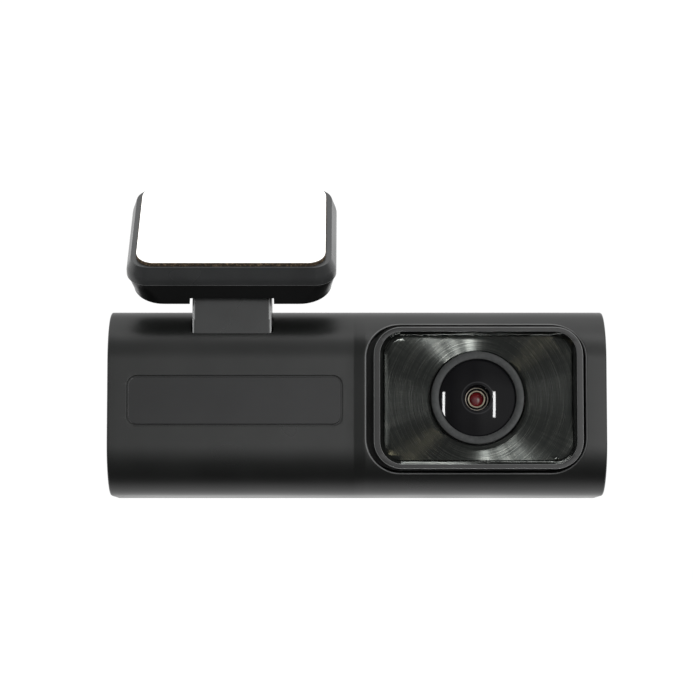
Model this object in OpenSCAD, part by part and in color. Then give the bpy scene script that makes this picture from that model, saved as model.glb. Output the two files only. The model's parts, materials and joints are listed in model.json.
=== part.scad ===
// Dash camera: a rounded bar with the lens at one end and a sticky windscreen
// mount at the other. The lens faces -Y, +Z is up, and the origin is the middle
// of the mount's sticky face.

/* [Case] */
// Length of the case, end to end
case_length = 94; // [90:1:100]
// Height of the case
case_height = 35.2; // [34.8:0.1:36]
// Radius of the long front edges
front_edge_r = 10; // [9:0.5:10]
// Radius of the long back edges
back_edge_r = 6; // [4:0.5:7]
// Thickness of the case walls
wall = 1.8; // [1.6:0.1:2]

/* [Lens window] */
// Width of the bezel
bezel_width = 39.4; // [39:0.1:39.8]
// Height of the bezel
bezel_height = 26.75; // [26:0.05:27]
// Corner radius of the bezel
bezel_corner_r = 5.3; // [4.5:0.1:5.8]
// How far the bezel stands out of the front
bezel_proud = 0.8; // [0.6:0.1:1]
// Diameter of the ring round the lens
lens_ring_d = 17.5; // [17:0.1:18]
// Diameter of the front glass
glass_d = 14.4; // [14:0.1:14.8]

/* [Name plate] */
// Width of the name plate
plate_width = 40; // [36:0.5:40]
// Height of the name plate
plate_height = 8.9; // [8:0.1:10]

/* [Mount] */
// Tilt of the sticky face from level
pad_tilt = 44; // [43:0.5:45]
// Width of the adhesive pad
pad_width = 35.4; // [34:0.1:35.8]
// Length of the adhesive pad up the glass
pad_length = 24.5; // [23.5:0.1:24.8]
// Width of the arm
arm_width = 15; // [14:0.1:15]
// Radius of the steel hinge pin
pin_r = 1; // [0.9:0.05:1.1]

/* [Controls] */
// Diameter of each push button
button_d = 8; // [7:0.1:8.4]
// How far a button stands out of the rear cover
button_proud = 0.7; // [0.6:0.05:0.9]

/* [Hidden] */

$fn = 96;
eps = 0.01;
through = 60;

// Case planes, measured from the middle of the case
half_l = case_length / 2;
half_h = case_height / 2;
front_y = -15;
inner_front_y = front_y + wall;
seam_y = 4;
back_y = 15;
inner_l = half_l - wall;
inner_h = half_h - wall;
inner_back_y = back_y - wall;

// Name plate let into the front
plate_x = -23;
plate_r = 1.6;
plate_t = 0.8;
groove = 0.3;

// Lens window
opening_x = 22.4;
opening_z = 0.5;
opening_w = 41.2;
opening_h = 28;
opening_r = 6.4;
bezel_x = 22.86;
bezel_front_y = front_y - bezel_proud;
bezel_back_y = -9.6;
bezel_side_band = 1.2;
bezel_top_band = 0.9;
bezel_slope = 0.75;
funnel_depth = 1.6;
bezel_floor_t = 1.2;
brushed_t = 0.5;
brushed_front_y = bezel_front_y + funnel_depth;
brushed_w = bezel_width - 2 * bezel_side_band - 2 * bezel_slope;
brushed_h = bezel_height - 2 * bezel_top_band - 2 * bezel_slope;

// Lens, along its own axis
lens_x = 22.7;
lens_z = opening_z;
ring_front_y = bezel_front_y + 0.2;
ring_back_y = brushed_front_y + brushed_t;
glass_front_y = ring_front_y + 0.15;
glass_dome_r = 22;
glass_t = 1.6;
barrel_head_d = 16.6;
barrel_head_back_y = -7.5;
barrel_thread_d = 12;
barrel_back_y = 0.4;
holder_side = 16;
ear_dx = holder_side / 2 + 1.6;
iris_y = -11.6;
rear_lens_y = -9.4;

// Main board and what stands on it
board_y = 3;
board_t = 1.2;
board_back_y = board_y + board_t;
board_half_w = 44.2;
board_half_h = 14.4;
board_corner = [4.3, 4.1];
boss_x = 42.9;
boss_z = 13.4;
boss_r = 2.5;
boss_front_y = -7;
post_xs = [-38.2, -3.6];
post_z = 11.6;
post_r = 2.2;
screw_r = 0.75;
hole_r = 0.8;
head_r = 1.5;
chip_side = 12;
chip_t = 1.2;
sink_x = 15;
sink_front_y = board_back_y + chip_t + 0.8;

// Rear cover fittings
button_x = -4.5;
power_z = 7.5;
snapshot_z = -7.5;
microphone_x = 2;
microphone_z = -12.4;
speaker_x = -24;
speaker_d = 18;
usb_y = board_back_y + 1.63;
usb_size = [7.4, 3.2, 9];
card_size = [15, 0.9, 11];
card_y = board_back_y + 1.5;
card_z = 0;
card_end_x = half_l - 0.3;

// Mount stack, measured down from the sticky face
liner_t = 0.15;
foam_t = 0.7;
rim_z = -(liner_t + foam_t);
lip = [37.7, 25.1];
base_outline = [39.5, 26];
bevel_h = 2.7;
base_h = 4.1;
base_bottom_z = rim_z - base_h;
running_gap = 0.12;
housing_top_z = base_bottom_z - running_gap;
housing_bottom_z = housing_top_z - 4.9;
housing_floor_t = 1.25;
channel_top_z = rim_z - 1.2;
channel_half_w = 13.2;
throat_half_w = 10.2;
tongue_head_t = 1.4;
channel_front_v = -9.4;
flange_t = 1.2;
hinge_v = -4.9;
hinge_z = -8.3;
barrel_r = 3.2;
bay_half_w = arm_width / 2 + 0.45;
cheek_t = 3;
slot_back_v = 0.2;
notch_h = 1.5;

// Sticky face's middle, measured from the middle of the case
pad_x = -23.6;
pad_y = -12.54;
pad_z = 33.86;
// Hinge axis, measured from the middle of the case
hinge_case_y = pad_y + hinge_v * cos(pad_tilt) - hinge_z * sin(pad_tilt);
hinge_case_z = pad_z + hinge_v * sin(pad_tilt) + hinge_z * cos(pad_tilt);
arm_foot_z = 12.5;
foot_half_w = 12;
foot_front_y = -8;
foot_back_y = -5.6;
foot_screw_dx = 9.8;
foot_screw_z = 9;

case_black = [0.13, 0.135, 0.135];
gloss_black = [0.05, 0.05, 0.055];
board_green = [0.06, 0.25, 0.12];
steel = [0.7, 0.7, 0.72];

// ---- Shapes shared by the parts ----

// Rectangle with true round corners, centred
module rounded_rect(w, h, r) {
    square([w, h - 2 * r], center = true);
    square([w - 2 * r, h], center = true);
    for (sx = [-1, 1], sz = [-1, 1])
        translate([sx * (w / 2 - r), sz * (h / 2 - r)]) circle(r);
}

// Slot with half-round ends, long side first
module round_slot(l, w) {
    square([l - w, w], center = true);
    for (s = [-1, 1]) translate([s * (l - w) / 2, 0]) circle(w / 2);
}

// Slab with its outline in X and Z, between two depths
module slab(front, back) {
    translate([0, back, 0])
        rotate([90, 0, 0])
            linear_extrude(height = back - front) children();
}

// Bar along X whose outline is drawn in Y and Z
module bar_x(x0, x1) {
    translate([x0, 0, 0])
        rotate([90, 0, 90])
            linear_extrude(height = x1 - x0) children();
}

// Cylinder along Y, at a place in X and Z, between two depths
module peg_y(x, z, r, front, back) {
    translate([x, back, z])
        rotate([90, 0, 0]) cylinder(r = r, h = back - front);
}

// Cylinder along X
module rod_x(x0, x1, y, z, r) {
    translate([x0, y, z])
        rotate([0, 90, 0]) cylinder(r = r, h = x1 - x0);
}

// Box from one corner to the other
module box(low, high) {
    translate(low) cube(high - low);
}

// Middle of the case, seen from the part's origin
module in_case() {
    translate([-pad_x, -pad_y, -pad_z]) children();
}

// The mount's own axes: X along the hinge, Y up the glass, Z out of the sticky face
module in_mount() {
    rotate([pad_tilt, 0, 0]) children();
}

// Pan head screw along Y with its head at the back
module screw_y(x, z, head_front_y, length, head = head_r) {
    difference() {
        peg_y(x, z, head, head_front_y, head_front_y + 1.2);
        for (turn = [0, 90])
            translate([x, head_front_y + 1.2, z])
                rotate([0, turn, 0]) cube([head * 1.2, 0.9, 0.35], center = true);
    }
    peg_y(x, z, screw_r, head_front_y - length, head_front_y + eps);
}

// Outline of the case across X, from a front plane to a back plane
module case_outline(front, back, front_r, back_r, half_z) {
    intersection() {
        union() {
            translate([front + front_r, -half_z])
                square([back - back_r - front - front_r, 2 * half_z]);
            translate([front, -(half_z - max(front_r, back_r))])
                square([back - front, 2 * (half_z - max(front_r, back_r))]);
            translate([back - back_r - eps, -(half_z - back_r)])
                square([back_r + eps, 2 * (half_z - back_r)]);
            for (s = [-1, 1]) {
                if (front_r > 0) translate([front + front_r, s * (half_z - front_r)]) circle(front_r);
                if (back_r > 0) translate([back - back_r, s * (half_z - back_r)]) circle(back_r);
            }
        }
        translate([front, -half_z - 1]) square([back - front, 2 * half_z + 2]);
    }
}

// Space inside the case, shrunk by a gap
module case_inside(gap = 0) {
    bar_x(-inner_l + gap, inner_l - gap)
        case_outline(inner_front_y + gap, inner_back_y - gap, front_edge_r - wall - gap,
                     back_edge_r - wall - gap, inner_h - gap);
}

// Everything in front of the seam, before it is hollowed
module front_form() {
    bar_x(-half_l, half_l) case_outline(front_y, seam_y, front_edge_r, 0, half_h);
}

// ---- Mount base, which stays stuck to the glass ----

module release_liner() {
    color("white") in_mount()
        translate([0, 0, -liner_t])
            linear_extrude(height = liner_t) rounded_rect(pad_width, pad_length, 2.6);
}

module adhesive_foam() {
    color([0.2, 0.15, 0.1]) in_mount()
        translate([0, 0, rim_z])
            linear_extrude(height = foam_t) rounded_rect(pad_width + 0.2, pad_length + 0.2, 2.7);
}

module adhesive_base() {
    color(case_black) in_mount() difference() {
        union() {
            hull() {
                translate([0, 0, rim_z - 0.05])
                    linear_extrude(height = 0.05) rounded_rect(lip[0], lip[1], 3.4, $fn = 32);
                translate([0, 0, rim_z - bevel_h])
                    linear_extrude(height = 0.05)
                        rounded_rect(base_outline[0], base_outline[1], 4, $fn = 32);
            }
            translate([0, 0, base_bottom_z])
                linear_extrude(height = base_h - bevel_h + eps)
                    rounded_rect(base_outline[0], base_outline[1], 4);
        }
        // T-shaped channel, closed at the lower end and open at the upper end
        box([-channel_half_w, channel_front_v, base_bottom_z + 1.3], [channel_half_w, 20, channel_top_z]);
        box([-throat_half_w, channel_front_v, base_bottom_z - 1], [throat_half_w, 20, channel_top_z]);
    }
}

// ---- Mount head, which slides off the base ----

module slide_plate() {
    tongue_front = channel_front_v + running_gap;
    tongue_back = base_outline[1] / 2 - 0.4;
    color(gloss_black) in_mount() difference() {
        union() {
            box([-throat_half_w + running_gap, tongue_front, housing_top_z],
                [throat_half_w - running_gap, tongue_back, channel_top_z - running_gap]);
            box([-channel_half_w + running_gap, tongue_front, channel_top_z - running_gap - tongue_head_t],
                [channel_half_w - running_gap, tongue_back, channel_top_z - running_gap]);
            translate([0, 0, housing_top_z - flange_t])
                linear_extrude(height = flange_t) rounded_rect(35.8, 21, 2.4);
        }
        // Pocket that clears the arm's barrel
        box([-bay_half_w - 0.1, hinge_v - barrel_r - 0.4, housing_top_z - 3],
            [bay_half_w + 0.1, hinge_v + barrel_r + 0.4, hinge_z + barrel_r + 0.35]);
        for (sx = [-1, 1], sv = [-1, 1])
            translate([sx * 15, sv * 7.6, housing_top_z - 3]) {
                cylinder(r = hole_r, h = 5);
                translate([0, 0, 3 - 0.9]) cylinder(r = head_r + 0.15, h = 2);
            }
    }
}

module slide_plate_screws() {
    color(steel) in_mount()
        for (sx = [-1, 1], sv = [-1, 1])
            translate([sx * 15, sv * 7.6, 0]) {
                difference() {
                    translate([0, 0, housing_top_z - 0.9]) cylinder(r = head_r, h = 0.75);
                    translate([0, 0, housing_top_z - 0.3]) cube([1.8, 0.35, 0.6], center = true);
                    translate([0, 0, housing_top_z - 0.3]) cube([0.35, 1.8, 0.6], center = true);
                }
                translate([0, 0, housing_bottom_z + 1]) cylinder(r = screw_r - 0.02,
                    h = housing_top_z - 0.9 - housing_bottom_z - 1 + eps);
            }
}

module hinge_housing() {
    top_r = 4;
    bottom_r = 6.4;
    bottom_inset = 1.1;
    color(gloss_black) in_mount() difference() {
        union() {
            difference() {
                hull() {
                    translate([0, 0, housing_top_z - 0.6])
                        linear_extrude(height = 0.6)
                            rounded_rect(base_outline[0] - 0.4, base_outline[1] - 0.4, top_r, $fn = 32);
                    translate([0, 0, housing_bottom_z])
                        linear_extrude(height = 0.05)
                            rounded_rect(base_outline[0] - 2 * bottom_inset, base_outline[1] - 0.4,
                                         bottom_r, $fn = 32);
                }
                translate([0, 0, housing_bottom_z + housing_floor_t])
                    linear_extrude(height = 10) rounded_rect(34.4, 20.6, 3);
                // Step that seats the slide plate
                translate([0, 0, housing_top_z - flange_t])
                    linear_extrude(height = 10) rounded_rect(36, 21.2, 2.5);
            }
            // Cheeks that carry the pin
            for (side = [-1, 1])
                translate([side * (bay_half_w + cheek_t / 2), hinge_v, housing_bottom_z + 1.8])
                    cube([cheek_t, 7.4, 3.3 - 0.1], center = true);
            for (sx = [-1, 1], sv = [-1, 1])
                translate([sx * 15, sv * 7.6, housing_bottom_z + 0.5])
                    cylinder(r = 2, h = housing_top_z - flange_t - housing_bottom_z - 0.5);
        }
        // Bay for the arm, open below and through a notch in the lower wall
        box([-bay_half_w, hinge_v - barrel_r - 3.2, housing_bottom_z - 1],
            [bay_half_w, slot_back_v, housing_bottom_z + notch_h]);
        box([-bay_half_w, -20, housing_bottom_z - 1], [bay_half_w, hinge_v, housing_bottom_z + notch_h]);
        rod_x(-bay_half_w - cheek_t, bay_half_w + cheek_t, hinge_v, hinge_z, pin_r);
        for (sx = [-1, 1], sv = [-1, 1])
            translate([sx * 15, sv * 7.6, housing_bottom_z + 0.9]) cylinder(r = screw_r, h = 10);
    }
}

module hinge_pin() {
    color(steel) in_mount()
        rod_x(-bay_half_w - cheek_t, bay_half_w + cheek_t, hinge_v, hinge_z, pin_r);
}

module friction_washers() {
    washer_t = 0.35;
    color(steel) in_mount()
        for (side = [-1, 1])
            difference() {
                rod_x(side * (bay_half_w - washer_t / 2) - washer_t / 2,
                      side * (bay_half_w - washer_t / 2) + washer_t / 2, hinge_v, hinge_z, barrel_r - 0.6);
                rod_x(-20, 20, hinge_v, hinge_z, pin_r);
            }
}

// ---- Camera: arm and case ----

module mount_arm() {
    color(case_black) in_case() difference() {
        union() {
            translate([pad_x, hinge_case_y, arm_foot_z])
                linear_extrude(height = hinge_case_z - arm_foot_z)
                    rounded_rect(arm_width, 2 * barrel_r, 0.9);
            rod_x(pad_x - arm_width / 2, pad_x + arm_width / 2, hinge_case_y, hinge_case_z, barrel_r);
            intersection() {
                box([pad_x - foot_half_w, foot_front_y, 6], [pad_x + foot_half_w, foot_back_y, 16]);
                case_inside(0.05);
            }
        }
        rod_x(-through, through, hinge_case_y, hinge_case_z, pin_r + 0.04);
        for (side = [-1, 1])
            peg_y(pad_x + side * foot_screw_dx, foot_screw_z, hole_r, -12, 0);
    }
}

module arm_screws() {
    color(steel) in_case()
        for (side = [-1, 1])
            screw_y(pad_x + side * foot_screw_dx, foot_screw_z, foot_back_y, 6.4, 1.8);
}

module front_shell() {
    color(case_black) in_case() difference() {
        union() {
            difference() {
                front_form();
                case_inside();
            }
            intersection() {
                union() {
                    for (sx = [-1, 1], sz = [-1, 1])
                        peg_y(sx * boss_x, sz * boss_z, boss_r, boss_front_y, seam_y);
                    for (x = post_xs, sz = [-1, 1])
                        peg_y(x, sz * post_z, post_r, inner_front_y - 0.5, board_y);
                    for (side = [-1, 1])
                        peg_y(pad_x + side * foot_screw_dx, foot_screw_z, post_r,
                              inner_front_y - 0.5, foot_front_y);
                }
                front_form();
            }
        }
        // Lens window
        translate([opening_x, 0, opening_z])
            slab(front_y - 5, -7.5) rounded_rect(opening_w, opening_h, opening_r);
        // Recess for the name plate
        translate([plate_x, 0, 0])
            slab(front_y - 5, front_y + plate_t)
                rounded_rect(plate_width + 2 * groove, plate_height + 2 * groove, plate_r + groove);
        // Slot the arm comes out of
        translate([pad_x, hinge_case_y, arm_foot_z - 0.05])
            linear_extrude(height = 20) rounded_rect(arm_width + 0.1, 2 * barrel_r + 0.1, 0.95);
        for (sx = [-1, 1], sz = [-1, 1])
            peg_y(sx * boss_x, sz * boss_z, hole_r, boss_front_y + 1.5, seam_y + 1);
        for (x = post_xs, sz = [-1, 1])
            peg_y(x, sz * post_z, hole_r, board_y - 6, board_y + 1);
        for (side = [-1, 1])
            peg_y(pad_x + side * foot_screw_dx, foot_screw_z, hole_r, foot_front_y - 4.6, foot_front_y + 1);
    }
}

module rear_cover() {
    screw_seat_y = 8;
    speaker_holes = [for (ring = [1, 2], i = [0:6 * ring - 1])
        [2.4 * ring * cos(i * 60 / ring), 2.4 * ring * sin(i * 60 / ring)]];
    color(case_black) in_case() difference() {
        union() {
            difference() {
                bar_x(-half_l, half_l) case_outline(seam_y, back_y, 0, back_edge_r, half_h);
                case_inside();
            }
            intersection() {
                union() {
                    for (sx = [-1, 1], sz = [-1, 1])
                        peg_y(sx * boss_x, sz * boss_z, boss_r, seam_y, back_y);
                    translate([speaker_x, 0, 0]) difference() {
                        peg_y(0, 0, speaker_d / 2 + 1.4, inner_back_y - 3, inner_back_y + 0.5);
                        peg_y(0, 0, speaker_d / 2 + 0.15, inner_back_y - 4, inner_back_y);
                    }
                }
                bar_x(-half_l, half_l) case_outline(seam_y, back_y, 0, back_edge_r, half_h);
            }
        }
        for (sx = [-1, 1], sz = [-1, 1]) {
            peg_y(sx * boss_x, sz * boss_z, head_r + 0.2, screw_seat_y, back_y + 1);
            peg_y(sx * boss_x, sz * boss_z, hole_r, seam_y - 1, back_y);
        }
        for (z = [power_z, snapshot_z])
            peg_y(button_x, z, button_d / 2 + 0.2, inner_back_y - 1, back_y + 1);
        peg_y(button_x, 0, 1.05, inner_back_y - 1, back_y + 1);
        // Sound holes
        peg_y(speaker_x, 0, 0.6, inner_back_y - 1, back_y + 1);
        for (p = speaker_holes) peg_y(speaker_x + p[0], p[1], 0.6, inner_back_y - 1, back_y + 1);
        // Cooling slots over the heat sink
        for (i = [-3:3])
            translate([sink_x, 0, i * 2.8])
                slab(inner_back_y - 1, back_y + 1) round_slot(20, 1.2);
        // Microphone hole
        peg_y(microphone_x, microphone_z, 0.5, inner_back_y - 1, back_y + 1);
        // Charging port and card slot, one in each end
        translate([-half_l - 1, usb_y, 0]) rotate([90, 0, 90])
            linear_extrude(height = wall + 2) rotate(90) round_slot(9.3, 3.5);
        box([inner_l - 1, card_y - 0.75, card_z - 5.8], [half_l + 1, card_y + 0.75, card_z + 5.8]);
    }
}

module case_screws() {
    color(steel) in_case()
        for (sx = [-1, 1], sz = [-1, 1]) screw_y(sx * boss_x, sz * boss_z, 8, 9);
}

module name_plate() {
    color(case_black) in_case()
        translate([plate_x, 0, 0])
            slab(front_y, front_y + plate_t) rounded_rect(plate_width, plate_height, plate_r);
}

// ---- Lens window and optics ----

module lens_bezel() {
    side_tab_z = 6.5;
    tab_t = 1.2;
    color(gloss_black) in_case() difference() {
        union() {
            translate([bezel_x, 0, lens_z])
                slab(bezel_front_y, bezel_back_y) rounded_rect(bezel_width, bezel_height, bezel_corner_r);
            // Tabs that bear on the inside of the front wall
            box([opening_x - opening_w / 2 - 2.4, inner_front_y + 0.02, -side_tab_z],
                [inner_l - 0.1, inner_front_y + tab_t, side_tab_z]);
        }
        // Funnel down to the brushed plate
        hull() {
            translate([bezel_x, 0, lens_z]) slab(bezel_front_y - 0.1, bezel_front_y)
                rounded_rect(bezel_width - 2 * bezel_side_band, bezel_height - 2 * bezel_top_band,
                             bezel_corner_r - 1.2, $fn = 32);
            translate([bezel_x, 0, lens_z]) slab(brushed_front_y - 0.05, brushed_front_y)
                rounded_rect(brushed_w, brushed_h, 3, $fn = 32);
        }
        translate([bezel_x, 0, lens_z])
            slab(brushed_front_y - 0.1, brushed_front_y + brushed_t) rounded_rect(brushed_w, brushed_h, 3);
        translate([bezel_x, 0, lens_z])
            slab(brushed_front_y + brushed_t + bezel_floor_t, bezel_back_y + 5)
                rounded_rect(bezel_width - 2.4, bezel_height - 2.4, bezel_corner_r - 1.2);
        peg_y(lens_x, lens_z, lens_ring_d / 2 + 0.15, bezel_front_y, ring_back_y);
        peg_y(lens_x, lens_z, barrel_head_d / 2 + 0.1, bezel_front_y, 0);
    }
}

module bezel_seal() {
    color("black") in_case() difference() {
        translate([opening_x, 0, opening_z])
            slab(-11.6, -10) rounded_rect(opening_w - 0.1, opening_h - 0.1, opening_r - 0.05);
        translate([bezel_x, 0, lens_z])
            slab(-12, -9) rounded_rect(bezel_width + 0.04, bezel_height + 0.04, bezel_corner_r + 0.02);
    }
}

module brushed_plate() {
    color([0.1, 0.1, 0.11]) in_case() difference() {
        translate([bezel_x, 0, lens_z])
            slab(brushed_front_y, brushed_front_y + brushed_t)
                rounded_rect(brushed_w - 0.04, brushed_h - 0.04, 2.98);
        peg_y(lens_x, lens_z, lens_ring_d / 2 + 0.25, -20, 0);
    }
}

module lens_ring() {
    color([0.35, 0.36, 0.37]) in_case() difference() {
        peg_y(lens_x, lens_z, lens_ring_d / 2, ring_front_y, ring_back_y);
        peg_y(lens_x, lens_z, glass_d / 2 + 0.02, ring_front_y - 1, ring_back_y + 1);
    }
}

module lens_seal() {
    color("black") in_case() difference() {
        peg_y(lens_x, lens_z, barrel_head_d / 2 + 0.6, ring_back_y + bezel_floor_t,
              ring_back_y + bezel_floor_t + 1);
        peg_y(lens_x, lens_z, barrel_head_d / 2, -20, 0);
    }
}

// Wide-angle front element with a domed face and a hollow back
module front_glass() {
    edge_y = glass_front_y + 0.55;
    color([0.1, 0.1, 0.12, 0.5]) in_case() difference() {
        intersection() {
            peg_y(lens_x, lens_z, glass_d / 2, glass_front_y, glass_front_y + glass_t);
            translate([lens_x, glass_front_y + glass_dome_r, lens_z]) sphere(r = glass_dome_r, $fn = 160);
        }
        translate([lens_x, edge_y + 6.2, lens_z]) sphere(r = 5.6, $fn = 96);
    }
}

module lens_barrel() {
    seat_y = glass_front_y + glass_t;
    color("black") in_case() difference() {
        union() {
            peg_y(lens_x, lens_z, barrel_head_d / 2, ring_back_y, barrel_head_back_y);
            peg_y(lens_x, lens_z, barrel_thread_d / 2, barrel_head_back_y - eps, barrel_back_y);
            peg_y(lens_x, lens_z, glass_d / 2 - 0.01, seat_y, ring_back_y + eps);
        }
        // Stepped bore: wide mouth, iris seat, rear lens seat
        peg_y(lens_x, lens_z, 5.6, -20, iris_y);
        peg_y(lens_x, lens_z, 3.2, -20, iris_y + 0.9);
        peg_y(lens_x, lens_z, 2.6, -20, rear_lens_y + 2);
        peg_y(lens_x, lens_z, 2, -20, 5);
    }
}

module iris_ring() {
    color([0.6, 0.6, 0.55]) in_case() difference() {
        peg_y(lens_x, lens_z, 3.2, iris_y, iris_y + 0.9);
        peg_y(lens_x, lens_z, 1.75, iris_y - 1, iris_y + 2);
    }
}

module rear_lens() {
    color([0.3, 0.02, 0.02, 0.7]) in_case()
        intersection() {
            peg_y(lens_x, lens_z, 2.58, rear_lens_y - 0.8, rear_lens_y + 2);
            translate([lens_x, rear_lens_y - 0.8 + 4.5, lens_z]) sphere(r = 4.5, $fn = 96);
        }
}

module lens_holder() {
    front = -4.5;
    color("black") in_case() difference() {
        union() {
            translate([lens_x, 0, lens_z]) slab(-1.5, board_y) rounded_rect(holder_side, holder_side, 1.5);
            peg_y(lens_x, lens_z, barrel_thread_d / 2 + 1.4, front, 0);
            for (side = [-1, 1])
                peg_y(lens_x + side * ear_dx, lens_z, 2, 0.6, board_y);
        }
        peg_y(lens_x, lens_z, barrel_thread_d / 2 + 0.01, front - 1, barrel_back_y + 0.1);
        translate([lens_x, 0, lens_z]) slab(barrel_back_y, board_y + 1) rounded_rect(10.4, 10.4, 0.6);
        for (side = [-1, 1])
            peg_y(lens_x + side * ear_dx, lens_z, hole_r, -1, board_y + 1);
    }
}

module lens_holder_screws() {
    color(steel) in_case()
        for (side = [-1, 1])
            mirror([0, 1, 0])
                screw_y(lens_x + side * ear_dx, lens_z, -0.6, 3.6, 1.4);
}

module infrared_filter() {
    color([0.5, 0.15, 0.15, 0.5]) in_case()
        translate([lens_x, 0, lens_z])
            slab(barrel_back_y + 0.35, barrel_back_y + 0.65) square(8, center = true);
}

module image_sensor() {
    color([0.15, 0.15, 0.2]) in_case()
        translate([lens_x, 0, lens_z]) slab(board_y - 1, board_y) square(9, center = true);
}

// ---- Electronics ----

module main_board() {
    color(board_green) in_case() difference() {
        box([-board_half_w, board_y, -board_half_h], [board_half_w, board_back_y, board_half_h]);
        for (sx = [-1, 1], sz = [-1, 1])
            translate([sx * board_half_w, board_y + board_t / 2, sz * board_half_h])
                cube([2 * board_corner[0], 3 * board_t, 2 * board_corner[1]], center = true);
        for (x = post_xs, sz = [-1, 1]) peg_y(x, sz * post_z, hole_r, 0, 10);
        for (side = [-1, 1])
            peg_y(lens_x + side * ear_dx, lens_z, hole_r, 0, 10);
    }
}

module board_screws() {
    color(steel) in_case()
        for (x = post_xs, sz = [-1, 1]) screw_y(x, sz * post_z, board_back_y, 6);
}

module processor() {
    color("black") in_case()
        translate([sink_x, 0, 0])
            slab(board_back_y, board_back_y + chip_t) square(chip_side, center = true);
}

module memory_chips() {
    color("black") in_case() {
        translate([sink_x, 0, 11]) slab(board_back_y, board_back_y + 0.9) square([9, 5], center = true);
        translate([1.5, 0, 0]) slab(board_back_y, board_back_y + 0.9) square([6, 8], center = true);
    }
}

module thermal_pad() {
    color([0.6, 0.65, 0.7]) in_case()
        translate([sink_x, 0, 0])
            slab(board_back_y + chip_t, sink_front_y) square(chip_side, center = true);
}

module heat_sink() {
    base_t = 1.4;
    fin_pitch = 2.8;
    color([0.75, 0.76, 0.78]) in_case() {
        translate([sink_x, 0, 0])
            slab(sink_front_y, sink_front_y + base_t) square([20, 16], center = true);
        for (i = [-2:2])
            box([sink_x - 10, sink_front_y + base_t - eps, (i - 0.2) * fin_pitch],
                [sink_x + 10, inner_back_y - 0.8, (i + 0.2) * fin_pitch]);
    }
}

// Two capacitors lie along the case in front of the board
module supercapacitors() {
    cap_r = 4.4;
    cap_length = 20;
    color([0.1, 0.15, 0.3]) in_case()
        for (z = [-9.2, 0.2])
            rod_x(pad_x - cap_length / 2, pad_x + cap_length / 2, board_y - cap_r, z, cap_r);
}

module speaker() {
    color([0.2, 0.2, 0.2]) in_case() {
        peg_y(speaker_x, 0, speaker_d / 2, inner_back_y - 3.4, inner_back_y - 0.2);
        peg_y(speaker_x, 0, speaker_d / 2 - 3.5, inner_back_y - 5.4, inner_back_y - 3.4 + eps);
    }
}

module microphone() {
    color([0.8, 0.7, 0.4]) in_case()
        translate([microphone_x, 0, microphone_z])
            slab(board_back_y, board_back_y + 1) square([3.6, 2.6], center = true);
}

module card_socket() {
    socket_x0 = 27.4;
    socket_x1 = 42.6;
    color(steel) in_case() difference() {
        box([socket_x0, board_back_y, card_z - 6.6], [socket_x1, card_y + 0.85, card_z + 6.6]);
        box([socket_x0 + 1, card_y - 0.6, card_z - 5.65], [socket_x1 + 1, card_y + 0.6, card_z + 5.65]);
    }
}

module memory_card() {
    color([0.1, 0.1, 0.1]) in_case()
        box([card_end_x - card_size[0], card_y - 0.35, card_z - card_size[2] / 2],
            [card_end_x, card_y + 0.35, card_z + card_size[2] / 2]);
}

module usb_socket() {
    mouth_x = -half_l + 0.4;
    color(steel) in_case() translate([mouth_x, usb_y, 0]) rotate([90, 0, 90]) {
        difference() {
            linear_extrude(height = usb_size[0]) rotate(90) round_slot(usb_size[2], usb_size[1]);
            translate([0, 0, -1])
                linear_extrude(height = usb_size[0])
                    rotate(90) round_slot(usb_size[2] - 0.6, usb_size[1] - 0.6);
        }
        // Contact tongue
        translate([0, 0, 1]) linear_extrude(height = usb_size[0] - 1.5) square([0.7, 6.7], center = true);
    }
}

module button_switches() {
    color(steel) in_case()
        for (z = [power_z, snapshot_z]) {
            translate([button_x, 0, z])
                slab(board_back_y, board_back_y + 3) square([4.5, 4.5], center = true);
            peg_y(button_x, z, 1.2, board_back_y + 3 - eps, board_back_y + 3.8);
        }
}

// Push button: a cap in the cover, a wider skirt behind it and a stem to its switch
module push_button(z) {
    skirt_t = 0.8;
    press_gap = 0.1;
    skirt_back_y = inner_back_y - 0.1;
    peg_y(button_x, z, button_d / 2, skirt_back_y - eps, back_y + button_proud);
    peg_y(button_x, z, button_d / 2 + 0.9, skirt_back_y - skirt_t, skirt_back_y);
    peg_y(button_x, z, 1, board_back_y + 3.8 + press_gap + 0.5, skirt_back_y);
}

module power_button() {
    color(gloss_black) in_case() push_button(power_z);
}

module snapshot_button() {
    color(gloss_black) in_case() push_button(snapshot_z);
}

module light_pipe() {
    color([0.9, 0.9, 0.95]) in_case() {
        peg_y(button_x, 0, 1, board_back_y + 1.2, back_y + 0.1);
        peg_y(button_x, 0, 1.8, inner_back_y - 0.9, inner_back_y - 0.05);
    }
}

module status_led() {
    color([0.9, 0.9, 0.7]) in_case()
        translate([button_x, 0, 0]) slab(board_back_y, board_back_y + 0.8) square([2, 1.2], center = true);
}

// Stamped aerial along the top of the board, on three feet
module wifi_antenna() {
    aerial_x = 4.5;
    aerial_w = 15;
    color([0.8, 0.7, 0.4]) in_case() {
        box([aerial_x, board_y - 3, board_half_h - 0.6], [aerial_x + aerial_w, board_y, board_half_h - 0.2]);
        box([aerial_x, board_y - 3, board_half_h - 4],
            [aerial_x + aerial_w, board_y - 2.6, board_half_h - 0.2]);
    }
}

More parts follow.
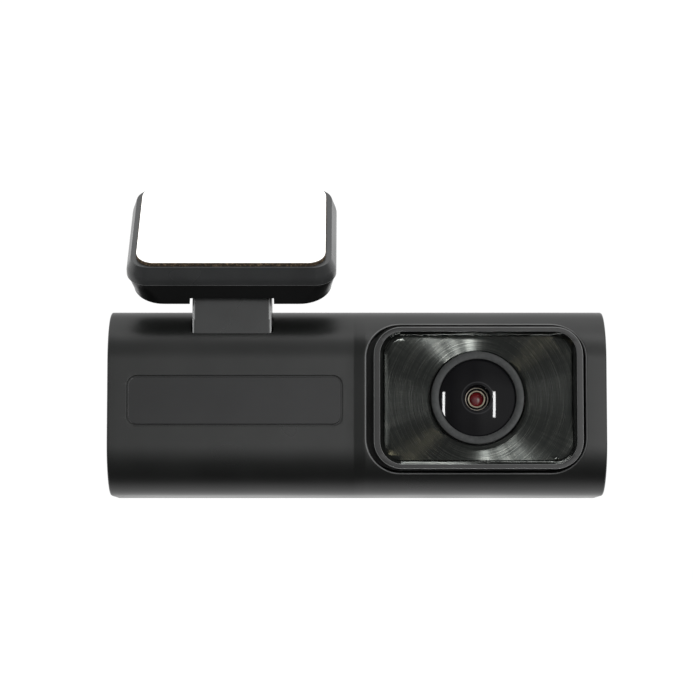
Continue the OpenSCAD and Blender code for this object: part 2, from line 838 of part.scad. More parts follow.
release_liner();
adhesive_foam();
adhesive_base();
hinge_housing();
slide_plate();
slide_plate_screws();
hinge_pin();
friction_washers();
mount_arm();
arm_screws();
front_shell();
rear_cover();
case_screws();
name_plate();
lens_bezel();
bezel_seal();
brushed_plate();
lens_ring();
lens_seal();
front_glass();
lens_barrel();
iris_ring();
rear_lens();
lens_holder();
lens_holder_screws();
infrared_filter();
image_sensor();
main_board();
board_screws();
processor();
memory_chips();
thermal_pad();
heat_sink();
supercapacitors();
speaker();
microphone();
card_socket();
memory_card();
usb_socket();
button_switches();
power_button();
snapshot_button();
light_pipe();
status_led();
wifi_antenna();
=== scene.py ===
"""Looks of the dash camera: detailed shells, lens window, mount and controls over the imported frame."""

import json
from math import asin, atan2, cos, pi, radians, sin, sqrt

import bmesh
import bpy
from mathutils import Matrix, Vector
from mathutils.geometry import delaunay_2d_cdt


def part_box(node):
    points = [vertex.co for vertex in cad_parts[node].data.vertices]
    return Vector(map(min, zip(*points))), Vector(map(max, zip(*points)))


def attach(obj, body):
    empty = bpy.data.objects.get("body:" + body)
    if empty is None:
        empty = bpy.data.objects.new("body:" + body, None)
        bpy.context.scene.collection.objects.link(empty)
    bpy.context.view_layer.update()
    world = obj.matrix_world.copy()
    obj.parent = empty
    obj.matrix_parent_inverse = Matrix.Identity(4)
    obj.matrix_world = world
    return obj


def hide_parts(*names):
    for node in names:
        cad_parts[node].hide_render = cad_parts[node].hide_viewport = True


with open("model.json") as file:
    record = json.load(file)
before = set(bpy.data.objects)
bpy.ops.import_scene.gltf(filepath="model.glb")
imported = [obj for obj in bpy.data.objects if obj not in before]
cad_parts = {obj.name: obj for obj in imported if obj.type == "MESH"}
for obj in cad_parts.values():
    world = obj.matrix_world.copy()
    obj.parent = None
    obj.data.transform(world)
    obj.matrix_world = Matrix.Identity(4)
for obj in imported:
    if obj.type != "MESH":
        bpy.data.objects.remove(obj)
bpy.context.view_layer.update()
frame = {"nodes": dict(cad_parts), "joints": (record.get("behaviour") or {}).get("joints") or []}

MM = 0.001
# Vertices closer than this, in metres, are one
WELD = 2e-7

# ---- places, in millimetres

shell_low, shell_high = (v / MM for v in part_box("front_shell"))
plate_low, plate_high = (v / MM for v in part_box("name_plate"))
bezel_low, bezel_high = (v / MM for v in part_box("lens_bezel"))
brushed_low, brushed_high = (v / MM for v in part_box("brushed_plate"))
ring_low, ring_high = (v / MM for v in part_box("lens_ring"))

# Depths from the middle of the case, which lies 15 mm behind its front plane
FRONT, SEAM, BACK = -15.0, 4.0, 15.0
CASE = Vector(((shell_low.x + shell_high.x) / 2, shell_low.y - FRONT, (shell_low.z + shell_high.z) / 2))
HALF_L = (shell_high.x - shell_low.x) / 2
HALF_H = (shell_high.z - shell_low.z) / 2
WALL = 1.8
FRONT_R, BACK_R = 10.0, 6.0
END_ROUND, SEAM_ROUND = 0.4, 0.16
# The lens end stands forward of the name plate end by a short ramp
STEP, RAMP_START, RAMP_LENGTH = 0.45, -0.7, 2.45

LENS = Vector(((ring_low.x + ring_high.x) / 2 - CASE.x, 0, (ring_low.z + ring_high.z) / 2 - CASE.z))
BEZEL_X = (brushed_low.x + brushed_high.x) / 2 - CASE.x
BEZEL_FRONT = bezel_low.y - CASE.y
BRUSHED_FRONT = brushed_low.y - CASE.y
RING_FRONT = ring_low.y - CASE.y
RING_R = (ring_high.x - ring_low.x) / 2
GLASS_R = 7.2
PLATE_X = (plate_low.x + plate_high.x) / 2 - CASE.x
PLATE_W, PLATE_H = plate_high.x - plate_low.x, plate_high.z - plate_low.z

tilt_joint = next(j for j in frame["joints"] if j["name"] == "camera_tilt")
PIN = Vector(tilt_joint["pos_m"]) / MM
PAD_TILT = radians(44)
# The mount stands where the frame's x is 0
ARM_X = -CASE.x
ARM_HALF, ARM_GAP = 7.5, 0.25
ARM_FRONT, ARM_BACK = -13.5, -7.1
# The keys, and the light pipe between them, on the back
KEY_X, KEY_Z = -4.5, 7.5


def in_case(p):
    """A point measured from the middle of the case, in the frame's metres."""
    return (CASE + Vector(p)) * MM


def in_mount(p):
    """A point in the mount's own axes, across, up the glass and out of the sticky face."""
    x, v, n = p
    return Vector((x, v * cos(PAD_TILT) - n * sin(PAD_TILT), v * sin(PAD_TILT) + n * cos(PAD_TILT))) * MM


# ---- mesh tools

def mesh_object(name, bm):
    """Puts a bmesh into the scene as an object, and frees it."""
    mesh = bpy.data.meshes.new(name)
    bm.to_mesh(mesh)
    bm.free()
    made = bpy.data.objects.new(name, mesh)
    bpy.context.collection.objects.link(made)
    return made


def finish_mesh(name, bm, body, material, replaces=(), smooth_angle=35, weighted=True):
    """Turns a bmesh into a shown piece that rides on a body."""
    bmesh.ops.remove_doubles(bm, verts=bm.verts, dist=WELD)
    bmesh.ops.recalc_face_normals(bm, faces=bm.faces)
    piece = mesh_object(name, bm)
    for polygon in piece.data.polygons:
        polygon.use_smooth = True
    piece.data.set_sharp_from_angle(angle=radians(smooth_angle))
    piece.data.materials.append(material)
    if weighted:
        normals = piece.modifiers.new("normals", "WEIGHTED_NORMAL")
        normals.keep_sharp = True
        normals.weight = 60
    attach(piece, body)
    # Blender numbers a name that the frame already uses
    if replaces:
        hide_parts(*replaces)
    return piece


def rounded_rect(w, h, r, steps=10, centre=(0, 0)):
    """Outline of a rectangle with round corners, anticlockwise, as (a, b) pairs."""
    points = []
    for turn, (sa, sb) in enumerate(((1, 1), (-1, 1), (-1, -1), (1, -1))):
        for k in range(steps + 1):
            angle = (turn + k / steps) * pi / 2
            points.append((centre[0] + sa * (w / 2 - r) + r * cos(angle),
                           centre[1] + sb * (h / 2 - r) + r * sin(angle)))
    return points


def circle(r, count, centre=(0, 0)):
    angles = [2 * pi * k / count for k in range(count)]
    return [(centre[0] + r * cos(angle), centre[1] + r * sin(angle)) for angle in angles]


def add_loop(bm, points, place):
    return [bm.verts.new(place(p)) for p in points]


def bridge(bm, first, second, finish=0):
    """Quads between two closed loops with the same number of points, in one of the piece's finishes."""
    count = len(first)
    for k in range(count):
        face = bm.faces.new((first[k], first[(k + 1) % count], second[(k + 1) % count], second[k]))
        face.material_index = finish


def loft(bm, loops, place, capped=False, closed=False):
    """Skin through loops of 3D points; closed joins the last loop to the first."""
    rows = [add_loop(bm, loop, place) for loop in loops]
    for first, second in zip(rows, rows[1:]):
        bridge(bm, first, second)
    if closed:
        bridge(bm, rows[-1], rows[0])
    if capped:
        bm.faces.new(list(reversed(rows[0])))
        bm.faces.new(rows[-1])


def at_depth(outline, y):
    """Outline in X and Z lifted to points at one depth."""
    return [(a, y, b) for a, b in outline]


def at_height(outline, n):
    """Outline across the mount lifted to one height over it."""
    return [(a, b, n) for a, b in outline]


def fillet(radius, steps=4):
    """Pairs (inset, drop) round a quarter circle, from the side wall to the flat."""
    return [(radius * (1 - cos(k / steps * pi / 2)), radius * (1 - sin(k / steps * pi / 2)))
            for k in range(steps + 1)]


def rounded_block(bm, w, h, r, low, high, place, lift, low_round=0.1, high_round=0.1, centre=(0, 0),
                  steps=10):
    """Slab with round corners and rounded rims; lift turns an outline and a level into points."""
    levels = [(inset, low + drop) for inset, drop in reversed(fillet(low_round))]
    levels += [(inset, high - drop) for inset, drop in fillet(high_round)]
    loops = [lift(rounded_rect(w - 2 * inset, h - 2 * inset, max(r - inset, 0.02), steps, centre), level)
             for inset, level in levels]
    loft(bm, loops, place, capped=True)


def inside(point, polygon):
    """Whether a point lies in a polygon, by counting the edges to one side of it."""
    x, y = point
    found = False
    for (x0, y0), (x1, y1) in zip(polygon, polygon[1:] + polygon[:1]):
        if (y0 > y) != (y1 > y) and x < (x1 - x0) * (y - y0) / (y1 - y0) + x0:
            found = not found
    return found


def near(point, polygon, gap):
    """Whether a point lies closer than the gap to a corner of a polygon."""
    return any((point[0] - a) ** 2 + (point[1] - b) ** 2 < gap * gap for a, b in polygon)


def box_of(ring, margin):
    """Lowest and highest first and second coordinates of a ring, with a margin."""
    first, second = [a for a, _ in ring], [b for _, b in ring]
    return min(first) - margin, max(first) + margin, min(second) - margin, max(second) + margin


def fill(boundary, rings, grid):
    """Triangles over a boundary with holes, through grid points that keep clear of the holes."""
    margin, gap, merge = 0.4, 0.3, 1e-5
    points, edges = [], []
    for ring in [boundary] + rings:
        start, count = len(points), len(ring)
        points += [Vector(p) for p in ring]
        edges += [(start + k, start + (k + 1) % count) for k in range(count)]
    boxes = [box_of(ring, margin) for ring in rings]
    for p in grid:
        close = [ring for ring, (a0, a1, b0, b1) in zip(rings, boxes) if a0 < p[0] < a1 and b0 < p[1] < b1]
        if not any(inside(p, ring) or near(p, ring, gap) for ring in close):
            points.append(Vector(p))
    verts, _, faces, _, _, _ = delaunay_2d_cdt(points, edges, [], 0, merge)
    kept = []
    for face in faces:
        middle = sum((verts[i] for i in face), Vector((0, 0))) / len(face)
        if inside(middle, boundary) and not any(inside(middle, ring) for ring in rings):
            kept.append(face)
    return verts, kept


# ---- case shells

class CaseSide:
    """Unrolled outside of one shell: x along the case, s round its section from the middle of the face."""

    def __init__(self, face_y, radius):
        self.sign = 1 if face_y > SEAM else -1
        self.face_y, self.r = face_y, radius
        self.flat = HALF_H - radius
        self.arc = radius * pi / 2
        self.arc_y = face_y - self.sign * radius
        self.limit = self.flat + self.arc + abs(self.arc_y - SEAM)

    def section(self, s):
        """Depth, height and outward normal at s."""
        side, a = (1 if s >= 0 else -1), abs(s)
        if a <= self.flat:
            return self.face_y, s, Vector((0, self.sign, 0))
        if a <= self.flat + self.arc:
            t = (a - self.flat) / self.r
            normal = Vector((0, self.sign * cos(t), side * sin(t)))
            return self.arc_y + self.sign * self.r * cos(t), side * (self.flat + self.r * sin(t)), normal
        return self.arc_y - self.sign * (a - self.flat - self.arc), side * HALF_H, Vector((0, 0, side))

    def s_of_z(self, z):
        side, a = (1 if z >= 0 else -1), abs(z)
        if a <= self.flat:
            return z
        return side * (self.flat + self.r * asin(min(1, (a - self.flat) / self.r)))

    def step(self, x):
        """How far the front stands forward at x: nothing, then the ramp, then the deck."""
        if self.sign > 0:
            return 0.0
        return STEP * min(1, max(0, (x - RAMP_START) / RAMP_LENGTH))

    def point(self, x, s, inset=0.0):
        y, z, normal = self.section(s)
        forward = self.step(x) * max(0.0, -normal.y) ** 1.5
        return Vector((x, y - forward, z)) - normal * inset


def outline_on(side, outline):
    """An outline in X and Z laid on the unrolled side."""
    return [(a, side.s_of_z(b)) for a, b in outline]


def grow(outline, amount):
    """Moves an anticlockwise outline outward along its own normals."""
    grown = []
    count = len(outline)
    for k, (a, b) in enumerate(outline):
        (a0, b0), (a1, b1) = outline[k - 1], outline[(k + 1) % count]
        length = sqrt((a1 - a0) ** 2 + (b1 - b0) ** 2) or 1
        grown.append((a + (b1 - b0) / length * amount, b - (a1 - a0) / length * amount))
    return grown


def clean(outline, gap=1e-4):
    """Drops points that lie on top of the one before."""
    kept = []
    for p in outline:
        if not kept or abs(p[0] - kept[-1][0]) + abs(p[1] - kept[-1][1]) > gap:
            kept.append(p)
    if abs(kept[0][0] - kept[-1][0]) + abs(kept[0][1] - kept[-1][1]) <= gap:
        kept.pop()
    return kept


def spread(low, high, pitch):
    count = max(1, round((high - low) / pitch))
    return [low + (high - low) * k / count for k in range(count + 1)]


def cut_walls(bm, rim_points, edge_points, inward, depth, rounding, inner_points):
    """Rounded edge and wall of a hole, from the rim on the surface down to the inner skin."""
    rows = []
    for t in (0.0, 0.2, 0.4, 0.6, 0.8, 1.0):
        rows.append([(1 - t) ** 2 * p + 2 * t * (1 - t) * e + t * t * (e + inward * rounding)
                     for p, e in zip(rim_points, edge_points)])
    rows.append([e + inward * depth for e in edge_points])
    if inner_points:
        rows.append(inner_points)
    made = [add_loop(bm, row, in_case) for row in rows]
    for k, (first, second) in enumerate(zip(made, made[1:])):
        # The middle bands of a widely rounded edge take finish 1, which paints a highlight along the rim
        bridge(bm, first, second, 1 if rounding > 0.4 and 0 < k < 4 else 0)
    return made[-1]


def build_shell(side, holes, end_holes, wall=WALL):
    """One half of the case: outer and inner skins, hole walls, rounded ends and the seam's rim.

    holes are (outline in X and Z, edge rounding, depth or None when it goes through).
    end_holes are (end, outline in Y and Z) for slots in the two end walls.
    """
    bm = bmesh.new()
    x_in = HALF_L - END_ROUND
    s_end = side.limit - SEAM_ROUND
    bend = side.flat + side.arc
    s_rows = (spread(-s_end, -bend, 1.0)[:-1] + spread(-bend, -side.flat, 0.7)[:-1]
              + spread(-side.flat, side.flat, 1.6)[:-1] + spread(side.flat, bend, 0.7)[:-1]
              + spread(bend, s_end, 1.0))
    ramp_end = RAMP_START + RAMP_LENGTH
    x_rows = (spread(-x_in, RAMP_START, 1.7)[:-1] + spread(RAMP_START, ramp_end, 0.35)[:-1]
              + spread(ramp_end, x_in, 1.7))
    boundary = ([(x, -s_end) for x in x_rows[:-1]] + [(x_in, s) for s in s_rows[:-1]]
                + [(x, s_end) for x in reversed(x_rows[1:])] + [(-x_in, s) for s in reversed(s_rows[1:])])
    grid = [(x, s) for x in x_rows[1:-1] for s in s_rows[1:-1]]

    cut = []
    for outline, rounding, depth in holes:
        outline = clean(outline)
        cut.append((outline_on(side, outline), outline_on(side, grow(outline, rounding)), rounding, depth))
    verts, faces = fill(boundary, [rim for _, rim, _, _ in cut], grid)
    outer = [bm.verts.new(in_case(side.point(v.x, v.y))) for v in verts]
    for face in faces:
        bm.faces.new([outer[i] for i in face])
    through = [c for c in cut if c[3] is None]
    verts, faces = fill(boundary, [rim for _, rim, _, _ in through], grid[::2])
    scale = (HALF_L - wall) / x_in
    inner = [bm.verts.new(in_case(inner_point(side, v.x * scale, v.y, wall))) for v in verts]
    for face in faces:
        bm.faces.new([inner[i] for i in reversed(face)])
    inward = Vector((0, -side.sign, 0))
    for edge, rim, rounding, depth in cut:
        rim_points = [side.point(*p) for p in rim]
        edge_points = [side.point(*p) for p in edge]
        if depth is None:
            inner_points = [inner_point(side, a * scale, s, wall) for a, s in rim]
            cut_walls(bm, rim_points, edge_points, inward, wall * 0.7, rounding, inner_points)
        else:
            floor = cut_walls(bm, rim_points, edge_points, inward, depth, rounding, None)
            bm.faces.new(floor)

    for end in (-1, 1):
        slots = [clean(outline) for which, outline in end_holes if which == end]
        build_end(bm, side, end, s_rows, slots, wall, scale * x_in)
    for s_sign in (-1, 1):
        build_seam_rim(bm, side, s_sign, x_rows, s_end, wall, scale)
    # The rim of each end wall closes the gap between the outer and inner skins
    bmesh.ops.remove_doubles(bm, verts=bm.verts, dist=WELD)
    bmesh.ops.holes_fill(bm, edges=[e for e in bm.edges if e.is_boundary], sides=0)
    return bm


def inner_point(side, x, s, wall):
    """The inner skin has no ramp, so it follows the plain section."""
    y, z, normal = side.section(s)
    return Vector((x, y, z)) - normal * wall


def build_end(bm, side, end, s_rows, slots, wall, inner_x):
    """Rounded edge of the end, its flat face with any slots, and the flat inside it."""
    x_in = HALF_L - END_ROUND
    rows = []
    for k in range(6):
        angle = k / 5 * pi / 2
        inset = END_ROUND * (1 - cos(angle))
        x = end * (x_in + END_ROUND * sin(angle))
        rows.append([side.point(x, s, inset) for s in s_rows])
    made = [[bm.verts.new(in_case(p)) for p in row] for row in rows]
    for first, second in zip(made, made[1:]):
        for k in range(len(first) - 1):
            bm.faces.new((first[k], first[k + 1], second[k + 1], second[k]))
    inside_rim = [inner_point(side, 0, s, wall) for s in s_rows]
    for points, x, turn in ((rows[-1], end * HALF_L, end), (inside_rim, end * inner_x, -end)):
        boundary = [(p.y, p.z) for p in points]
        verts, faces = fill(boundary if side.sign > 0 else boundary[::-1], slots, [])
        flat = [bm.verts.new(in_case((x, v.x, v.y))) for v in verts]
        for face in faces:
            bm.faces.new([flat[i] for i in (face if turn > 0 else reversed(face))])
    for outline in slots:
        loft(bm, [[(x, a, b) for a, b in outline] for x in (end * HALF_L, end * inner_x)], in_case)


def build_seam_rim(bm, side, s_sign, x_rows, s_end, wall, scale):
    """Narrow rounded lip where the two shells meet, and the flat rim behind it."""
    for x0, x1 in zip(x_rows, x_rows[1:]):
        strip = []
        for x in (x0, x1):
            outer = side.point(x, s_sign * s_end)
            tuck = Vector((x, SEAM, outer.z - s_sign * SEAM_ROUND))
            bulge = (outer + tuck) / 2 + Vector((0, side.sign * -0.03, s_sign * 0.03))
            inner = inner_point(side, x * scale, s_sign * s_end, wall)
            path = (outer, bulge, tuck, Vector((inner.x, SEAM, inner.z)), inner)
            strip.append([bm.verts.new(in_case(p)) for p in path])
        for k in range(4):
            bm.faces.new((strip[0][k], strip[1][k], strip[1][k + 1], strip[0][k + 1]))


# ---- materials

class Nodes:
    """Small builder for a tree of shader nodes."""

    def __init__(self, tree):
        self.tree = tree

    def add(self, kind, inputs=None, **settings):
        """Adds a node; each input is a value, or the output of another node to link."""
        node = self.tree.nodes.new("ShaderNode" + kind)
        for name, value in settings.items():
            setattr(node, name, value)
        for name, value in (inputs or {}).items():
            if isinstance(value, bpy.types.NodeSocket):
                self.tree.links.new(value, node.inputs[name])
            else:
                node.inputs[name].default_value = value
        return node

    def maths(self, operation, *values):
        return self.add("Math", dict(enumerate(values)), operation=operation).outputs["Value"]

    def vectors(self, operation, *values, result="Vector"):
        return self.add("VectorMath", dict(enumerate(values)), operation=operation).outputs[result]

    def span(self, factor, low, high, start=0.3, end=0.7):
        """Runs from low to high while the factor runs from start to end."""
        limits = {"Value": factor, "From Min": start, "From Max": end, "To Min": low, "To Max": high}
        return self.add("MapRange", limits).outputs["Result"]

    def ramp(self, factor, stops):
        """Colour for a factor from stops of (position, colour)."""
        node = self.add("ValToRGB", {"Fac": factor})
        elements = node.color_ramp.elements
        while len(elements) < len(stops):
            elements.new(0.5)
        for element, (position, colour) in zip(elements, stops):
            element.position = position
            element.color = (*colour, 1)
        return node.outputs["Color"]


class Paint(Nodes):
    """Builder for a node material."""

    def __init__(self, name):
        self.material = bpy.data.materials.new(name)
        self.material.use_nodes = True
        super().__init__(self.material.node_tree)
        self.surface = self.tree.nodes["Principled BSDF"]
        self.place = self.add("TexCoord").outputs["Object"]

    def set(self, **values):
        for name, value in values.items():
            self.surface.inputs[name.replace("_", " ")].default_value = value
        return self

    def noise(self, scale, detail=2.0, roughness=0.5, stretch=None, source=None):
        source = source or self.place
        if stretch:
            source = self.add("Mapping", {"Scale": stretch, "Vector": source}).outputs["Vector"]
        settings = {"Scale": scale, "Detail": detail, "Roughness": roughness, "Vector": source}
        return self.add("TexNoise", settings).outputs["Fac"]

    def mottled(self, scale, detail, dark, light):
        """Soft patches of two tones."""
        return self.ramp(self.noise(scale, detail), [(0.3, dark), (0.7, light)])

    def feed(self, name, output):
        self.tree.links.new(output, self.surface.inputs[name])

    def colour(self, output):
        self.feed("Base Color", output)

    def rough(self, output):
        self.feed("Roughness", output)

    def bump(self, factor, depth, strength=0.5):
        node = self.add("Bump", {"Strength": strength, "Distance": depth, "Height": factor})
        self.feed("Normal", node.outputs["Normal"])

    def show(self, factor, first, second):
        """Shows a mix of two shaders in place of the plain surface."""
        mix = self.add("MixShader", {"Fac": factor, 1: first, 2: second})
        output = next(n for n in self.tree.nodes if n.type == "OUTPUT_MATERIAL")
        self.tree.links.new(mix.outputs["Shader"], output.inputs["Surface"])

    def from_lens(self):
        """Vector from the lens's axis with its depth left out, and the length of that vector."""
        centred = self.vectors("SUBTRACT", self.place, in_case((LENS.x, 0, LENS.z)))
        flat = self.vectors("MULTIPLY", centred, (1, 0, 1))
        return flat, self.vectors("LENGTH", flat, result="Value")


def plastic(name, dark, light, rough_low, rough_high, grain=900, depth=0.00001, strength=0.25, ior=1.5):
    """Moulded plastic: faint mottling of colour and gloss over a fine spark grain."""
    paint = Paint(name).set(IOR=ior)
    paint.colour(paint.mottled(140, 3, dark, light))
    paint.rough(paint.span(paint.noise(55, 2), rough_low, rough_high))
    paint.bump(paint.noise(grain * 3, 2, 0.6), depth, strength)
    return paint.material


def metal(name, dark, light, rough_low, rough_high, stretch=(1, 1, 1), scale=900):
    """Bare metal: a fine grain in colour and height, stretched along the way it was drawn or brushed."""
    paint = Paint(name).set(Metallic=1.0)
    grain = paint.noise(scale, 3, 0.6, stretch)
    paint.colour(paint.ramp(grain, [(0.3, dark), (0.7, light)]))
    paint.rough(paint.span(paint.noise(180, 2), rough_low, rough_high))
    paint.bump(grain, 0.000006, 0.3)
    return paint.material


def paint_edge_highlights(piece, test=None):
    """Adds a pale finish that paints a highlight along edges, for the faces that pass the test.

    Without a test it's for the faces that were built with finish 1."""
    piece.data.materials.append(painted_edge_highlight)
    for polygon in piece.data.polygons:
        if test and test(polygon.center / MM, polygon.normal):
            polygon.material_index = 1


# Pale plastic whose colour paints the highlights that rounded edges catch
painted_edge_highlight = plastic("painted_edge_highlight", (0.13, 0.133, 0.133), (0.19, 0.193, 0.193), 0.18, 0.26)


# ---- case

case_plastic = plastic("case_plastic", (0.0105, 0.0115, 0.0108), (0.0155, 0.0165, 0.0157), 0.27, 0.34)
bezel_plastic = plastic("bezel_plastic", (0.0035, 0.0038, 0.0038), (0.006, 0.0063, 0.0063), 0.16, 0.22)
plate_plastic = plastic("plate_plastic", (0.0075, 0.008, 0.0085), (0.011, 0.0116, 0.0122), 0.28, 0.36)

front = CaseSide(FRONT, FRONT_R)
rear = CaseSide(BACK, BACK_R)

window = rounded_rect(41.2, 28.0, 6.4, 12, (22.4, 0.5))
plate_recess = rounded_rect(PLATE_W + 0.6, PLATE_H + 0.6, 1.9, 8, (PLATE_X, 0))


def build_front():
    """Front shell; the arm's opening is a slot across the top rounding."""
    half, low, high, parts = ARM_HALF + ARM_GAP, 13.15, 15.98, 8
    corners = [(ARM_X + a, b) for a, b in ((half, low), (half, high), (-half, high), (-half, low))]
    opening = []
    for (a0, b0), (a1, b1) in zip(corners, corners[1:] + corners[:1]):
        opening += [(a0 + (a1 - a0) * k / parts, b0 + (b1 - b0) * k / parts) for k in range(parts)]
    holes = [(window, 0.42, None), (plate_recess, 0.14, 0.55), (opening, 0.12, None)]
    bm = build_shell(front, holes, [])
    return finish_mesh("front_case", bm, "camera", case_plastic, ("front_shell",), 30)


def build_rear():
    """Rear shell with its keys, light pipe, microphone, speaker, vents, screws and the two end slots."""
    speaker_x, speaker_pitch = -24, 2.4
    vent_x, vent_pitch = 15, 2.8
    screw_x, screw_z = 42.9, 13.4
    holes = [(circle(4.2, 56, (KEY_X, z)), 0.25, None) for z in (-KEY_Z, KEY_Z)]
    holes.append((circle(1.05, 24, (KEY_X, 0)), 0.1, None))
    holes.append((circle(0.5, 16, (2, -12.4)), 0.08, None))
    for ring, count in enumerate((1, 6, 12)):
        for a, b in circle(ring * speaker_pitch, count, (speaker_x, 0)):
            holes.append((circle(0.6, 16, (a, b)), 0.1, None))
    for row in range(-3, 4):
        holes.append((rounded_rect(20, 1.2, 0.59, 6, (vent_x, row * vent_pitch)), 0.12, None))
    holes += [(circle(1.7, 28, (x, z)), 0.12, 2.2) for x in (-screw_x, screw_x) for z in (-screw_z, screw_z)]
    usb_slot = rounded_rect(3.1, 9.1, 1.54, 8, (5.95, 0))
    card_slot = rounded_rect(1.5, 11.6, 0.3, 4, (5.7, 0))
    bm = build_shell(rear, holes, [(-1, usb_slot), (1, card_slot)])
    finish_mesh("rear_case", bm, "camera", case_plastic, ("rear_cover",), 30)


front_case = build_front()
# The window opening's rounded rim gets its painted highlight
paint_edge_highlights(front_case)
build_rear()

plate = bmesh.new()
# Built facing back and then mirrored; it stands 0.02 mm before the case's front
plate_face, plate_thick = -(FRONT - 0.02), 0.8
rounded_block(plate, PLATE_W, PLATE_H, 1.6, plate_face - plate_thick, plate_face,
              lambda p: in_case((p[0], -p[1], p[2])), at_depth, 0.05, 0.14, (PLATE_X, 0))
plate_cover = finish_mesh("name_plate_cover", plate, "camera", plate_plastic, ("name_plate",), 50)
# Painted highlight on the plate's rounded left edge
paint_edge_highlights(plate_cover, lambda p, n: n.x < -0.25 and -0.97 < n.y < -0.2)


# ---- lens window

BEZEL_R, BEZEL_BACK = 5.3, -9.7
# The CAD bezel has screw tabs behind the shell, so its visible rim is narrower
RIM_W, RIM_H = 39.4, 26.75
RIM_X, RIM_Z = 22.86, 0.5
SIDE_BAND, END_BAND, SLOPE = 1.2, 0.9, 0.75


def rim_loop(y, side, end, radius):
    """Loop round the window frame, set in by side and end bands."""
    return at_depth(rounded_rect(RIM_W - 2 * side, RIM_H - 2 * end, radius, 12, (RIM_X, RIM_Z)), y)


def build_bezel():
    """Frame with a flat front band, a slope down to the brushed plate, and four tabs behind the shell."""
    bm = bmesh.new()
    loops = [rim_loop(BEZEL_BACK, 0, 0, BEZEL_R)]
    for inset, drop in fillet(0.22, 5):
        loops.append(rim_loop(BEZEL_FRONT + drop, inset, inset, BEZEL_R - inset))
    for inset, drop in reversed(fillet(0.12, 4)):
        r = BEZEL_R - 1.0 + inset
        loops.append(rim_loop(BEZEL_FRONT + drop, SIDE_BAND - inset, END_BAND - inset, r))
    for y, down, tighter in ((BEZEL_FRONT + 0.75, SLOPE * 0.5, 1.5), (BRUSHED_FRONT + 0.04, SLOPE, 1.9),
                             (BEZEL_BACK, SLOPE, 1.9)):
        loops.append(rim_loop(y, SIDE_BAND + down, END_BAND + down, BEZEL_R - tighter))
    loft(bm, loops, in_case, closed=True)
    for x in (bezel_low.x - CASE.x + 0.9, bezel_high.x - CASE.x - 0.9):
        for z in (RIM_Z - 7, RIM_Z + 7):
            rounded_block(bm, 1.7, 3.4, 0.8, BEZEL_BACK - 0.9, BEZEL_BACK, in_case, at_depth, 0.1, 0.1,
                          (x, z), 5)
    return finish_mesh("window_frame", bm, "camera", bezel_plastic, ("lens_bezel",), 40)


def build_brushed():
    """Black plate brushed in circles about the lens; its UV map holds turn and radius for the brushing."""
    bm = bmesh.new()
    w, h = brushed_high.x - brushed_low.x, brushed_high.z - brushed_low.z
    outline = rounded_rect(w, h, 3.0, 16, (BEZEL_X, RIM_Z))
    outline = outline[1:] + outline[:1]
    count = 240
    rim = []
    for k in range(count):
        angle = 2 * pi * k / count
        direction = Vector((cos(angle), sin(angle)))
        best = None
        for p, q in zip(outline, outline[1:] + outline[:1]):
            p, q = Vector(p) - Vector((LENS.x, LENS.z)), Vector(q) - Vector((LENS.x, LENS.z))
            edge = q - p
            cross = direction.x * edge.y - direction.y * edge.x
            if abs(cross) < 1e-9:
                continue
            reach = (p.x * edge.y - p.y * edge.x) / cross
            along = (p.x * direction.y - p.y * direction.x) / cross
            if reach > 0 and -1e-6 <= along <= 1 + 1e-6:
                best = reach if best is None else max(best, reach)
        rim.append(direction * best)
    hole = 9.0
    rows = []
    for t in (0, 0.01, 0.1, 0.25, 0.4, 0.55, 0.7, 0.85, 0.99, 1):
        row = []
        for p in rim:
            r = p.length
            q = p / r * (hole + (r - hole) * t)
            edge_drop = 0.06 if t in (0, 1) else 0
            row.append((LENS.x + q.x, BRUSHED_FRONT + edge_drop, LENS.z + q.y))
        rows.append(row)
    back_y = brushed_high.y - CASE.y
    rows.append([(a, back_y, b) for a, _, b in rows[-1]])
    rows.append([(a, back_y, b) for a, _, b in rows[0]])
    loft(bm, rows, in_case, closed=True)
    piece = finish_mesh("brushed_cover", bm, "camera", brushed_metal, ("brushed_plate",), 40, False)
    uv = piece.data.uv_layers.new(name="brushing")
    axis = in_case((LENS.x, 0, LENS.z))
    for polygon in piece.data.polygons:
        spans = []
        for i in polygon.loop_indices:
            p = piece.data.vertices[piece.data.loops[i].vertex_index].co - axis
            spans.append((i, atan2(p.z, p.x) / (2 * pi), sqrt(p.x ** 2 + p.z ** 2) / MM))
        low = min(s[1] for s in spans)
        for i, turn, r in spans:
            if turn - low > 0.5:
                turn -= 1
            uv.data[i].uv = (turn, r)
    return piece


def brushed_black():
    """Dark anodised face brushed in circles: fine scratches spread each light into a fan across them."""
    paint = Paint("brushed_metal").set(Metallic=1.0, Anisotropic=1.0, Anisotropic_Rotation=0.25)
    flat, reach = paint.from_lens()
    heading = paint.vectors("NORMALIZE", flat)

    def streaks(turn_scale, reach_scale):
        """Noise that runs at one rate round the lens and at another outward from it."""
        spin = paint.add("VectorMath", {0: heading, "Scale": turn_scale}, operation="SCALE")
        raised = paint.add("CombineXYZ", {"Y": paint.maths("MULTIPLY", reach, reach_scale)})
        total = paint.vectors("ADD", spin.outputs["Vector"], raised.outputs["Vector"])
        return paint.noise(1.0, 4, 0.7, source=total)

    rays = streaks(34.0, 90.0)
    circles = streaks(1.2, 9000.0)
    blend = paint.maths("MULTIPLY_ADD", circles, 0.68, paint.maths("MULTIPLY", rays, 0.32))
    paint.colour(paint.ramp(blend, [(0.42, (0.011, 0.012, 0.0115)), (0.55, (0.019, 0.02, 0.0185)),
                                    (0.68, (0.045, 0.046, 0.043))]))
    paint.rough(paint.span(circles, 0.22, 0.3))
    paint.bump(circles, 0.000006, 0.3)
    tangent = paint.add("Tangent", direction_type="UV_MAP", uv_map="brushing")
    paint.feed("Tangent", tangent.outputs["Tangent"])
    return paint.material


